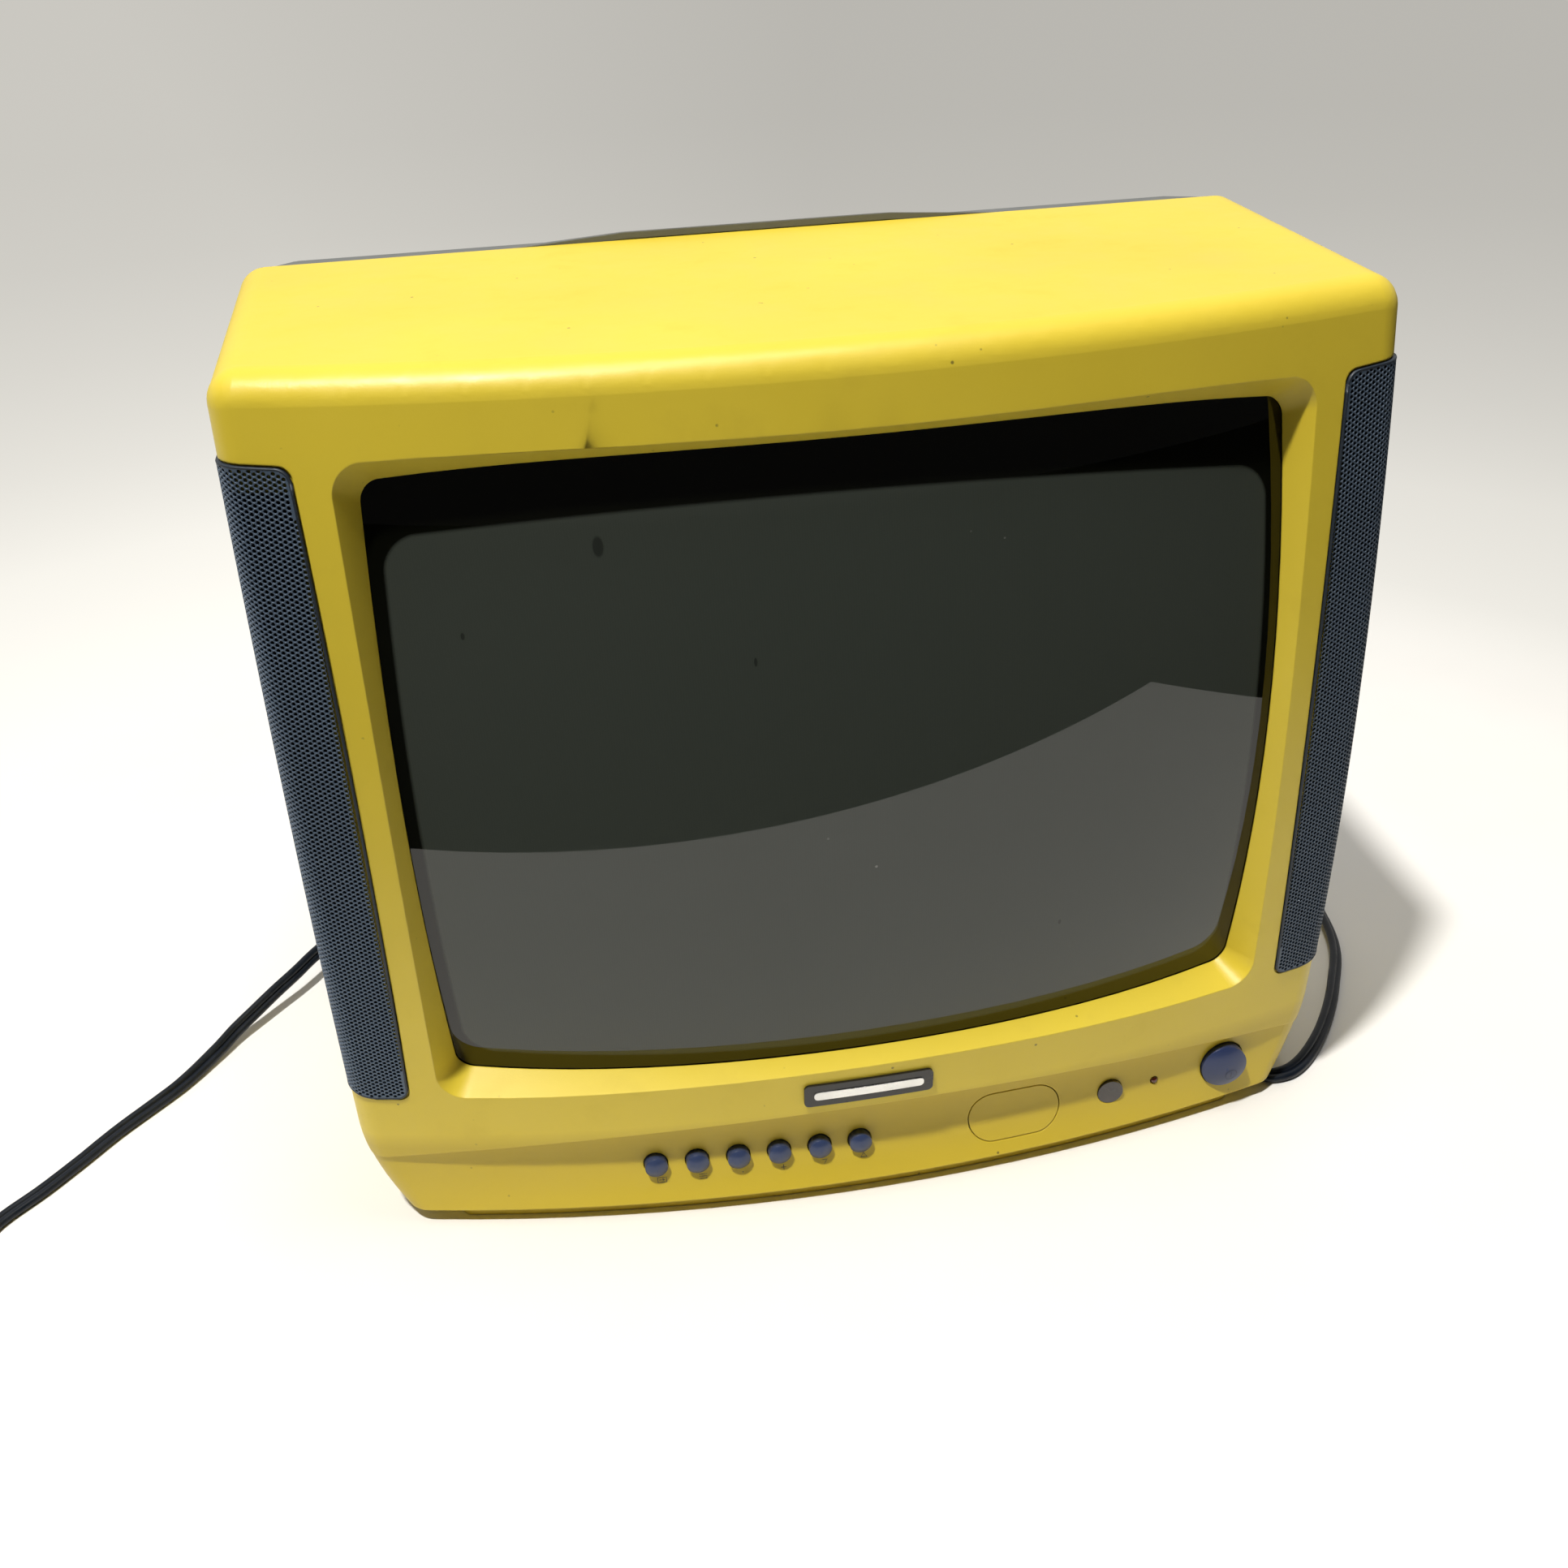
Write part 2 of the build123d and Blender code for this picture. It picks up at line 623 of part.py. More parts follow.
def tension_band():
    """The steel band shrunk round the tube's panel, with a lug at each corner."""
    band = slab(glass_outline(-1.9), 50, 64) - slab(glass_outline(-0.1), 40, 70)
    for x, z in TUBE_POSTS:
        lug = block((x - 9, x + 9), (46.2, 48.2), (z - 9, z + 9))
        inwards_x = -12 if x > 0 else 12
        inwards_z = -12 if z > SCREEN_Z else 12
        arm = Pos(x + inwards_x * 0.75, 50, z + inwards_z * 0.75) * Box(20, 8, 20)
        arm -= slab(glass_outline(-0.1), 40, 70)
        band += (lug - slab(glass_outline(-0.1), 40, 70)) + arm
    for x, z in TUBE_POSTS:
        band -= rod(x, z, 40, 60, 2.2)
        band -= rod(x, z, 48.2, 60, 5.5)
    return band


def deflection_yoke():
    """The flared ferrite ring round the tube's cone."""
    outline = Polyline((196, 36.5), (196, 55), (202, 55), (206, 47), (226, 40), (232, 40),
                       (232, 24), (222, 24), (204, 35), close=True)
    return revolve(on_tube_axis(outline), tube_axis(), 360)


def yoke_windings():
    """The saddle windings between the ferrite ring and the glass."""
    outline = Polyline((193, 35.5), (193, 52), (195.8, 52), (195.8, 36), (203.8, 34.6), (222, 23.6),
                       (240, 23.6), (240, 16), (223.5, 16), (206, 26), close=True)
    return revolve(on_tube_axis(outline), tube_axis(), 360)


def on_tube_axis(outline):
    """An outline of (depth, radius) points, placed above the tube's axis."""
    return Plane.YZ * Pos(0, SCREEN_Z) * make_face(outline)


def tube_axis():
    return Axis((0, 0, SCREEN_Z), (0, 1, 0))


def neck_ring(y):
    return rod(0, SCREEN_Z, y, y + 3, 24) - rod(0, SCREEN_Z, y - 1, y + 4, NECK_RADIUS + 0.4)


def neck_board():
    board = block((-36, 36), (325.4, 327), (SCREEN_Z - 34, SCREEN_Z + 36))
    return board + rod(0, SCREEN_Z, NECK_END + 0.4, 325.4, 16)


def degaussing_coil():
    """The taped coil round the tube's panel."""
    path = facing(82) * Pos(0, SCREEN_Z) * RectangleRounded(324, 246, 34).wire()
    return sweep(Plane(path @ 0, z_dir=path % 0) * Circle(3.5), path=path)


def anode_cap():
    """The rubber cap over the tube's high-voltage contact."""
    cap = post(40, 112, 262, 292, 15) & Pos(40, 112, 250) * Sphere(40)
    return cap - bulb(-0.2, -0.2, -0.2)


def lead(radius, *points):
    """A round wire along a smooth line through points."""
    path = Spline(*points)
    return sweep(Plane(path @ 0, z_dir=path % 0) * Circle(radius), path=path)


def anode_lead():
    return lead(2.2, (40, 112, 292.6), (48, 140, 296), (62, 200, 270), (76, 250, 190), (80, 262, 88.2))


# ---------------------------------------------------------------- speakers

def speaker_slot(y, width, height):
    return facing(y) * Pos(SPEAKER_X, SPEAKER_Z) * Rot(0, 0, 90) * SlotOverall(height, width)


def speaker_frame():
    """The pressed basket of the right speaker, a narrow oval."""
    flange = extrude(speaker_slot(44, 18, 98), amount=1.4, dir=BEHIND)
    outer = loft([speaker_slot(45, 16, 92), speaker_slot(58, 12, 44)], ruled=True)
    inner = loft([speaker_slot(43.6, 14.8, 90.5), speaker_slot(57, 10.6, 43)], ruled=True)
    frame = flange + outer - inner
    for level in (-32, 32):
        side = SPEAKER_Z + level
        frame -= block((SPEAKER_X - 20, SPEAKER_X + 20), (48, 53), (side - 5, side + 5))
    return frame


def speaker_cone():
    outer = loft([speaker_slot(44.4, 13.4, 84), speaker_slot(56, 7, 30)], ruled=True)
    inner = loft([speaker_slot(44.3, 12.4, 83), speaker_slot(55.3, 6, 29)], ruled=True)
    surround = extrude(speaker_slot(44.4, 14, 85), amount=0.6, dir=BEHIND)
    surround -= extrude(speaker_slot(44, 12.4, 83), amount=2, dir=BEHIND)
    return outer - inner + surround


def speaker_magnet():
    return rod(SPEAKER_X, SPEAKER_Z, 58.1, 68, 8.4) + rod(SPEAKER_X, SPEAKER_Z, 68, 70, 6.5)


# ---------------------------------------------------------------- chassis

def main_board():
    board = block((-104, 104), (96, 342), (BOARD_Z, BOARD_TOP))
    for x, y in BOARD_SCREWS:
        board -= post(x, y, BOARD_Z - 1, BOARD_TOP + 1, 1.8)
    return board


def chassis_rail(x):
    """A moulded rail that carries one edge of the main board."""
    rail = block((x - 4.5, x + 4.5), (60, 344), (14, BOARD_Z))
    for y in (80, 150):
        rail += block((x - 4.5, x + 4.5), (y - 8, y + 8), (LOW_Z + WALL, 15))
    for _, y in BOARD_SCREWS[:2]:
        rail -= post(x, y, BOARD_Z - 8, BOARD_Z + 1, 1.3)
    return rail


def board_screw(x, y):
    body = post(x, y, BOARD_TOP - 7, BOARD_TOP, 1.2) + post(x, y, BOARD_TOP, BOARD_TOP + 2, 3)
    return body - block((x - 2, x + 2), (y - 0.4, y + 0.4), (BOARD_TOP + 1.2, BOARD_TOP + 3))


def flyback_transformer():
    """The high-voltage transformer: potted block, round winding and ferrite loop."""
    body = block((62, 98), (236, 276), (BOARD_TOP, BOARD_TOP + 34))
    body += post(80, 262, BOARD_TOP + 30, BOARD_TOP + 62, 14)
    core = block((66, 94), (224, 234.5), (BOARD_TOP + 4, BOARD_TOP + 52))
    core += block((74, 86), (230, 262), (BOARD_TOP + 44, BOARD_TOP + 52))
    knobs = rod(70, BOARD_TOP + 12, 276, 282, 3.5) + rod(70, BOARD_TOP + 24, 276, 282, 3.5)
    return body + core + knobs


def heat_sink():
    sink = block((-98, -94), (228, 300), (BOARD_TOP, BOARD_TOP + 52))
    for fin in range(7):
        y = 230 + 11 * fin
        sink += block((-94, -78), (y, y + 2), (BOARD_TOP + 3, BOARD_TOP + 50))
    return sink


def power_transistor(y):
    body = block((-102.5, -98.1), (y - 8, y + 8), (BOARD_TOP + 20, BOARD_TOP + 40))
    for leg in (-4, 0, 4):
        body += block((-101, -100.3), (y + leg - 0.6, y + leg + 0.6), (BOARD_TOP, BOARD_TOP + 21))
    return body


def capacitor(x, y, radius, height):
    """A round can with a scored top."""
    can = post(x, y, BOARD_TOP, BOARD_TOP + height, radius)
    can -= post(x, y, BOARD_TOP + height - 0.6, BOARD_TOP + height + 1, radius - 1.2)
    groove = post(x, y, BOARD_TOP + 3, BOARD_TOP + 4, radius + 1)
    return can - (groove - post(x, y, BOARD_TOP, BOARD_TOP + 9, radius - 0.8))


def switching_transformer():
    body = block((-40, 0), (186, 222), (BOARD_TOP, BOARD_TOP + 8))
    body += block((-36, -4), (190, 218), (BOARD_TOP + 8, BOARD_TOP + 30))
    return body + block((-40, 0), (197, 211), (BOARD_TOP + 8, BOARD_TOP + 36))


def line_filter():
    """A round choke with an open middle."""
    ring = post(-66, 322, BOARD_TOP, BOARD_TOP + 16, 12)
    return ring - post(-66, 322, BOARD_TOP + 2, BOARD_TOP + 18, 6)


def mains_fuse():
    body = post_lying(-34, 322, 20, 2.5)
    for end in (-42, -26):
        body += block((end - 2, end + 2), (318.5, 325.5), (BOARD_TOP, BOARD_TOP + 9))
    return body


def post_lying(x, y, length, radius):
    return Pos(x, y, BOARD_TOP + 6) * Rot(0, 90, 0) * Cylinder(radius, length)


def circuit_chip(x, y, length, width):
    body = block((x - length / 2, x + length / 2), (y - width / 2, y + width / 2),
                 (BOARD_TOP + 0.8, BOARD_TOP + 4.5))
    legs = int(length / 5)
    for leg in range(legs):
        at = x - length / 2 + 2.5 + 5 * leg
        for side in (-1, 1):
            y_leg = y + side * width / 2
            body += block((at - 0.4, at + 0.4), (y_leg - 0.5, y_leg + 0.5), (BOARD_TOP, BOARD_TOP + 2.5))
    return body


def tuner():
    """The screened tuner with its aerial socket, which passes through the rear cover."""
    can = block((38, 84), (300, 344), (BOARD_TOP, BOARD_TOP + 22))
    can += rod(AERIAL_X, SOCKET_Z, 344, 374, 6)
    return can - rod(AERIAL_X, SOCKET_Z, 352, 376, 4.6)


def av_sockets():
    """Three round picture and sound sockets in one block."""
    body = block((-26, 30), (330, 352), (BOARD_TOP, BOARD_TOP + 20))
    for x in AV_XS:
        body += rod(x, SOCKET_Z, 352, 374, 4.6) - rod(x, SOCKET_Z, 354, 376, 3.6)
        body += rod(x, SOCKET_Z, 350, 372, 1.6)
    return body


# ---------------------------------------------------------------- rear cover

def cover_outline(level, inset):
    y, half, foot, low, waist, top, radius = level
    face = upright_outline(half - inset, foot - inset, low + inset, waist, top - inset)
    corners = [v for v in face.vertices() if v.Y > top - inset - 1]
    face = fillet(corners, radius - inset)
    back_in = inset if y == COVER_BACK else 0
    return facing(y - back_in) * face


def ridge_outline(level, inset):
    """One cross-section of the raised middle of the rear cover."""
    y, base, foot, side, crest_half, crest = level
    points = [(-base + inset, foot), (-base + inset, side - inset), (-crest_half, crest - inset),
              (crest_half, crest - inset), (base - inset, side - inset), (base - inset, foot)]
    back_in = inset if y == RIDGE_LEVELS[-1][0] else 0
    return facing(y - back_in) * make_face(Polyline(*points, close=True))


def cover_solid(inset):
    body = loft([cover_outline(level, inset) for level in COVER_LEVELS], ruled=True)
    return body + loft([ridge_outline(level, inset) for level in RIDGE_LEVELS], ruled=True)


def cover_tongue():
    """The lip that slides inside the cabinet's rim."""
    outer = loft([cabinet_section(y, WALL + 0.4) for y in (161, 171)], ruled=True)
    inner = loft([cabinet_section(y, WALL + 2.6) for y in (160, 172)], ruled=True)
    lip = outer - inner
    corners = block((-200, 200), (150, 180), (303, 330)) - block((-168, 168), (150, 180), (303, 330))
    lip -= corners
    for x, z in COVER_POSTS:
        lip -= rod(x, z, 150, COVER_FRONT, 6.5)
    return lip


def rear_cover():
    outer = cover_solid(0)
    cover = outer - cover_solid(COVER_WALL) + cover_tongue()
    for x, z in COVER_POSTS:
        cover += rod(x, z, COVER_FRONT, 216, 7.5) & outer
    for x, y in FOOT_SPOTS:
        cover += post(x, y, 3, 12, 11)
    for x, z in COVER_POSTS:
        cover -= rod(x, z, 173, 270, 5.2)
        cover -= rod(x, z, 160, 175, 1.9)
    for slot in range(9):
        x = -44 + 11 * slot
        cover -= block((x - 2, x + 2), (222, 286), (250, 330))
    for slot in range(17):
        x = -80 + 10 * slot
        for low, high in ((84, 126), (134, 176)):
            cover -= block((x - 1.75, x + 1.75), (355, 380), (low, high))
    for x in AV_XS:
        cover -= rod(x, SOCKET_Z, 360, 375, 5.2)
    cover -= rod(AERIAL_X, SOCKET_Z, 360, 375, 6.6)
    return cover - rod(CORD_X, CORD_Z, 360, 375, 6.2)


def cover_screw(x, z):
    return screw(x, z, 173, 14, 1.4, 3.6)


def tube_screw(x, z):
    return screw(x, z, 48.2, 12, 1.4, 4.2)


def rear_foot(x, y):
    return post(x, y, 0, 3, 9.5)


# ---------------------------------------------------------------- leads and mains cord

def cord_knots():
    """Points along the middle of the cord, each with the cord's direction there."""
    knots = [(Vector(*point), Vector(*BEHIND)) for point in CORD_EXIT]
    for i, (x, y) in enumerate(CORD_ROUTE):
        before = CORD_ROUTE[i - 1] if i else CORD_EXIT[-1][:2]
        after = CORD_ROUTE[min(i + 1, len(CORD_ROUTE) - 1)]
        along = Vector(after[0] - before[0], after[1] - before[1]).normalized()
        knots.append((Vector(x, y, CORD_LIE), along))
    return knots


def with_joints(knots):
    """The knots with a joint between each two, where one round arc runs into the next."""
    joined = knots[:1]
    for (start, leaves), (end, arrives) in pairwise(knots):
        across = end - start
        turn = 2 * (1 - leaves.dot(arrives))
        ahead = across.dot(leaves + arrives)
        reach = across.dot(across) / (ahead + sqrt(ahead ** 2 + turn * across.dot(across)))
        past_start = start + leaves * reach
        before_end = end - arrives * reach
        joined.append(((past_start + before_end) / 2, (before_end - past_start).normalized()))
        joined.append((end, arrives))
    return joined


def arc_or_line(start, end, along):
    """A round arc that sets off along a direction, or a line if the end lies straight ahead."""
    if (end - start).cross(along).length < 1e-6:
        return Line(start, end)
    return TangentArc(start, end, tangent=along)


def cord_core(offset):
    """One of the cord's two round cores, offset sideways from the middle of the cord."""
    nodes = []
    for point, along in with_joints(cord_knots()):
        sideways = Vector(along.Y, -along.X, 0).normalized()
        nodes.append((point + sideways * offset, along))
    path = Wire([arc_or_line(start, end, along).edge() for (start, along), (end, _) in pairwise(nodes)])
    return sweep(Plane(path @ 0, z_dir=path % 0) * Circle(CORE_RADIUS), path=path)


def mains_cord():
    """Flat twin cord, as two round cores lying side by side."""
    return [cord_core(-CORE_OFFSET), cord_core(CORE_OFFSET)]


def cord_grip():
    """The grommet that holds the cord in the rear cover."""
    grip = rod(CORD_X, CORD_Z, COVER_BACK, COVER_BACK + 6, 8) + rod(CORD_X, CORD_Z, 360, COVER_BACK, 6)
    return grip - slab(stadium(CORD_X, CORD_Z, 7.4, 4), 350, 380)


def mains_plug():
    """A moulded two-pin plug lying beyond the end of the cord."""
    end, along = cord_knots()[-1]
    turn = degrees(atan2(along.Y, along.X))
    outline = Polyline((0.3, -4), (10, -6), (34, -12), (40, -12), (40, 12), (34, 12), (10, 6), (0.3, 4),
                       close=True)
    body = extrude(make_face(outline), amount=12)
    body = fillet(body.edges().filter_by(Axis.Z), 1.8)
    for y in (-6, 6):
        body += Pos(48, y, 6) * Rot(0, 90, 0) * Cylinder(2, 18)
    return Pos(end.X, end.Y, 0) * Rot(0, 0, turn) * body


def speaker_leads():
    route = [(172, 71, 150), (172.5, 82, 130), (171, 100, 80), (150, 118, 38), (110, 128, 30)]
    return both_sides(lead(1.1, *route))


def yoke_lead():
    return lead(1.6, (0, 214, SCREEN_Z - 56.5), (6, 196, 96), (14, 172, 60), (16, 168, BOARD_TOP + 1.8))


def key_board_lead():
    route = [(0, KEY_BOARD_Y + 1.8, 18), (0, 50, 16), (2, 80, 20), (6, 98, 34), (8, 108, BOARD_TOP + 1.8)]
    return lead(1.4, *route)


def neck_lead():
    return lead(1.6, (0, 329, SCREEN_Z - 30), (-8, 338, 110), (-6, 330, 62), (-4, 310, BOARD_TOP + 1.8))


# ---------------------------------------------------------------- all the pieces

def write_parts():
    os.makedirs("parts", exist_ok=True)
    save("front_cabinet", front_cabinet())
    right_grille, left_grille = both_sides(grille())
    save("right_speaker_grille", right_grille)
    save("left_speaker_grille", left_grille)
    save("badge_plate", badge_plate())
    save("badge_stripe", badge_stripe())
    for number, x in enumerate(BUTTON_XS, 1):
        save(f"control_button_{number}", control_button(x))
    save("power_button", power_button())
    save("power_switch", power_switch())
    save("power_button_spring", power_spring())
    save("key_board", key_board())
    save("key_board_screws", *[key_board_screw(x) for x in KEY_BOARD_SCREWS])
    save("tact_switches", *[tact_switch(x) for x in BUTTON_XS])
    save("infrared_window", infrared_window())
    save("infrared_receiver", infrared_receiver())
    save("standby_lamp", standby_lamp())
    save("blanking_insert", blanking_insert())
    save("picture_tube_glass", picture_tube())
    save("phosphor_screen", phosphor_screen())
    save("shadow_mask", shadow_mask())
    save("electron_gun", electron_gun())
    save("tension_band", tension_band())
    save("tube_screws", *[tube_screw(x, z) for x, z in TUBE_POSTS])
    save("deflection_yoke", deflection_yoke())
    save("yoke_windings", yoke_windings())
    save("neck_rings", *[neck_ring(y) for y in (246, 254, 262)])
    save("neck_board", neck_board())
    save("degaussing_coil", degaussing_coil())
    save("anode_cap", anode_cap())
    save("anode_lead", anode_lead())
    save("speaker_frames", *both_sides(speaker_frame()))
    save("speaker_cones", *both_sides(speaker_cone()))
    save("speaker_magnets", *both_sides(speaker_magnet()))
    save("main_board", main_board())
    save("chassis_rails", *[chassis_rail(x) for x in (-99.5, 99.5)])
    save("board_screws", *[board_screw(x, y) for x, y in BOARD_SCREWS])
    save("flyback_transformer", flyback_transformer())
    save("heat_sink", heat_sink())
    save("power_transistors", *[power_transistor(y) for y in (248, 276)])
    save("capacitors", *[capacitor(*size) for size in CAPACITORS])
    save("switching_transformer", switching_transformer())
    save("line_filter", line_filter())
    save("mains_fuse", mains_fuse())
    save("circuit_chips", *[circuit_chip(*size) for size in CHIPS])
    save("tuner", tuner())
    save("av_sockets", av_sockets())
    save("wiring_leads", *speaker_leads(), yoke_lead(), key_board_lead(), neck_lead())
    save("rear_cover", rear_cover())
    save("cover_screws", *[cover_screw(x, z) for x, z in COVER_POSTS])
    save("rear_feet", *[rear_foot(x, y) for x, y in FOOT_SPOTS])
    save("mains_cord", *mains_cord())
    save("cord_grip", cord_grip())
    save("mains_plug", mains_plug())


write_parts()
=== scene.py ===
import math

import bmesh
import bpy
from mathutils import Matrix, Vector


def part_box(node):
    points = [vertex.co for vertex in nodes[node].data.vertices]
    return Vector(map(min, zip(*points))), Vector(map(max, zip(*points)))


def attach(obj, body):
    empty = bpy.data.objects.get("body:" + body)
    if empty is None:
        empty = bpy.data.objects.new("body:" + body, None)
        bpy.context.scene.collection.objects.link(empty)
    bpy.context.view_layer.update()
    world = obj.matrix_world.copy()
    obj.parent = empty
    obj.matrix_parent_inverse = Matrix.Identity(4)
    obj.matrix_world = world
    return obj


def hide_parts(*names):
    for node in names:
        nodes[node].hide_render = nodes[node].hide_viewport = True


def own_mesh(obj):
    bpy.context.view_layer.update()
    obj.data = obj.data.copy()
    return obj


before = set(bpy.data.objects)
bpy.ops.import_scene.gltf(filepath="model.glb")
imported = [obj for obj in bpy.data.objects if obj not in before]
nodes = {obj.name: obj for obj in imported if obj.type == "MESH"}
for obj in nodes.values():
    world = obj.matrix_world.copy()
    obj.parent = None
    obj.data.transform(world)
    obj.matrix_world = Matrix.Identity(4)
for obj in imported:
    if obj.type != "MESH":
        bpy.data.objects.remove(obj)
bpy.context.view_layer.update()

# Portable television: looks. Materials, lights and the camera are in metres. The shapes of the
# grilles, the cord and the printed marks are worked out in millimetres and placed by in_frame.
MM = 0.001
TELEVISION = "television"
scene = bpy.context.scene


# ---------------------------------------------------------------- shading helpers

class Surface:
    """A material under construction, with short calls for the nodes each surface uses."""

    def __init__(self, name):
        self.material = bpy.data.materials.new(name)
        self.material.use_nodes = True
        self.tree = self.material.node_tree
        self.shader = self.tree.nodes["Principled BSDF"]
        self.place = self.tree.nodes.new("ShaderNodeTexCoord").outputs["Object"]

    def set(self, **values):
        for name, value in values.items():
            self.connect(value, self.shader.inputs[name.replace("_", " ")])
        return self

    def connect(self, value, socket):
        if isinstance(value, bpy.types.NodeSocket):
            self.tree.links.new(value, socket)
        elif isinstance(value, (tuple, list)) and len(value) == 3 and socket.type == "RGBA":
            socket.default_value = (*value, 1)
        else:
            socket.default_value = value

    def node(self, kind, inputs=None, **settings):
        made = self.tree.nodes.new("ShaderNode" + kind)
        for name, value in settings.items():
            setattr(made, name, value)
        for name, value in (inputs or {}).items():
            self.connect(value, made.inputs[name])
        return made

    def noise(self, scale, detail=2.0, rough=0.5, stretch=None):
        place = self.place
        if stretch:
            place = self.node("Mapping", {"Vector": place, "Scale": stretch}).outputs["Vector"]
        inputs = {"Vector": place, "Scale": scale, "Detail": detail, "Roughness": rough}
        return self.node("TexNoise", inputs).outputs["Fac"]

    def spots(self, scale):
        """Distance to the nearest of many scattered points."""
        return self.node("TexVoronoi", {"Vector": self.place, "Scale": scale}).outputs["Distance"]

    def math(self, operation, a, b=0.0, c=0.0):
        made = self.node("Math", operation=operation)
        for socket, value in zip(made.inputs, (a, b, c)):
            self.connect(value, socket)
        return made.outputs[0]

    def ramp(self, value, low, high, to_low=0.0, to_high=1.0):
        """Linear remap of a value, clamped."""
        inputs = {"Value": value, "From Min": low, "From Max": high, "To Min": to_low, "To Max": to_high}
        return self.node("MapRange", inputs).outputs["Result"]

    def mix(self, share, a, b):
        """Colour a where the share is 0, b where it is 1. Sockets 6, 7 and output 2 are the colours'."""
        made = self.node("Mix", data_type="RGBA")
        for index, value in ((0, share), (6, a), (7, b)):
            self.connect(value, made.inputs[index])
        return made.outputs[2]

    def axes(self):
        split = self.node("SeparateXYZ", {"Vector": self.place})
        return split.outputs["X"], split.outputs["Y"], split.outputs["Z"]

    def bump(self, height, strength, distance, under=None):
        inputs = {"Height": height, "Strength": strength, "Distance": distance}
        if under is not None:
            inputs["Normal"] = under
        return self.node("Bump", inputs).outputs["Normal"]

    def soft_edges(self, radius):
        return self.node("Bevel", {"Radius": radius}, samples=4).outputs["Normal"]

    def edge_wear(self, radius):
        """0 on flat stretches, rising to 1 along sharp edges."""
        soft = self.soft_edges(radius)
        plain = self.node("NewGeometry").outputs["Normal"]
        alike = self.node("VectorMath", {0: soft, 1: plain}, operation="DOT_PRODUCT").outputs["Value"]
        return self.ramp(alike, 0.995, 0.75)


BROW_CURVE = 1.42          # sideways tilt of the brow's normal for each metre from the middle
BROW_NORMAL_Y, BROW_NORMAL_Z = -0.988, 0.112


def even_brow(s, normal):
    """Normal of the brow above the screen. On a stretch left of the middle it is worked out from the
    brow's curve, because thin slivers of the mesh blend it wrongly there."""
    x, y, z = s.axes()
    along = s.math("MULTIPLY", x, BROW_CURVE)
    curve = s.node("CombineXYZ", {"X": along, "Y": BROW_NORMAL_Y, "Z": BROW_NORMAL_Z}).outputs["Vector"]
    curve = s.node("VectorMath", {0: curve}, operation="NORMALIZE").outputs["Vector"]
    upright = s.math("MULTIPLY", s.ramp(z, 0.2898, 0.2902), s.ramp(z, 0.3015, 0.2995))
    level = s.math("MULTIPLY", s.ramp(x, -0.124, -0.116), s.ramp(x, -0.054, -0.062))
    front = s.math("LESS_THAN", y, 0.0)
    return s.mix(s.math("MULTIPLY", s.math("MULTIPLY", upright, level), front), normal, curve)


def grained_plastic(name, colour, darker, rough, grain=1400.0, depth=0.00006, specks=0.0):
    """Moulded plastic: fine grain, slow colour drift, rubbed edges and a little grime. The cabinet's
    own, the one with specks, also has painted shade towards its foot."""
    s = Surface(name)
    drift = s.noise(9, 3)
    smear = s.noise(40, 4, 0.6)
    shade = s.mix(s.ramp(drift, 0.35, 0.7, 0, 0.35), colour, darker)
    grime = s.math("MULTIPLY", s.ramp(smear, 0.58, 0.75), 0.25)
    shade = s.mix(grime, shade, darker)
    if specks:
        # painted shade: the cabinet's colour darkens below 43 mm, across the lower control panel
        low = s.ramp(s.axes()[2], 0.043, 0.036)
        shade = s.mix(low, shade, darker)
        dots = s.spots(160)
        wanted = s.ramp(s.noise(60, 1), 0.62, 0.66)
        mark = s.math("MULTIPLY", s.ramp(dots, 0.10, 0.06), wanted)
        shade = s.mix(s.math("MULTIPLY", mark, specks), shade, (0.05, 0.04, 0.02))
    worn = s.edge_wear(0.0012)
    light = tuple(min(1.0, c * 1.15 + 0.02) for c in colour)
    shade = s.mix(s.math("MULTIPLY", worn, 0.25), shade, light)
    fine = s.noise(grain, 2, 0.6)
    soft = s.soft_edges(0.0006)
    normal = s.bump(fine, 0.35, depth, even_brow(s, soft) if specks else soft)
    roughness = s.ramp(smear, 0.3, 0.75, rough - 0.05, rough + 0.08)
    s.set(Base_Color=shade, Roughness=roughness, Normal=normal)
    s.shader.inputs["Specular IOR Level"].default_value = 0.5
    return s.material


def smooth_plastic(name, colour, rough, coat=0.0, vary=0.3):
    """Polished or satin plastic with faint handling marks."""
    s = Surface(name)
    smear = s.noise(70, 4, 0.6)
    darker = tuple(c * 0.75 for c in colour)
    shade = s.mix(s.ramp(smear, 0.35, 0.7, 0, vary), colour, darker)
    roughness = s.ramp(smear, 0.3, 0.7, rough, rough + 0.1)
    ripple = s.bump(s.noise(500, 2), 0.12, 0.00004, s.soft_edges(0.0003))
    s.set(Base_Color=shade, Roughness=roughness, Normal=ripple, Coat_Weight=coat, Coat_Roughness=0.08)
    return s.material


def metal(name, colour, rough, brushed=(1, 1, 1), patina=0.4):
    s = Surface(name)
    lines = s.noise(900, 2, 0.5, stretch=brushed)
    stain = s.noise(55, 4, 0.6)
    dull = tuple(c * 0.6 for c in colour)
    shade = s.mix(s.ramp(stain, 0.45, 0.7, 0, patina), colour, dull)
    normal = s.bump(lines, 0.2, 0.00003, s.soft_edges(0.0003))
    roughness = s.ramp(lines, 0.3, 0.7, rough, rough + 0.15)
    s.set(Base_Color=shade, Metallic=1.0, Roughness=roughness, Normal=normal)
    return s.material


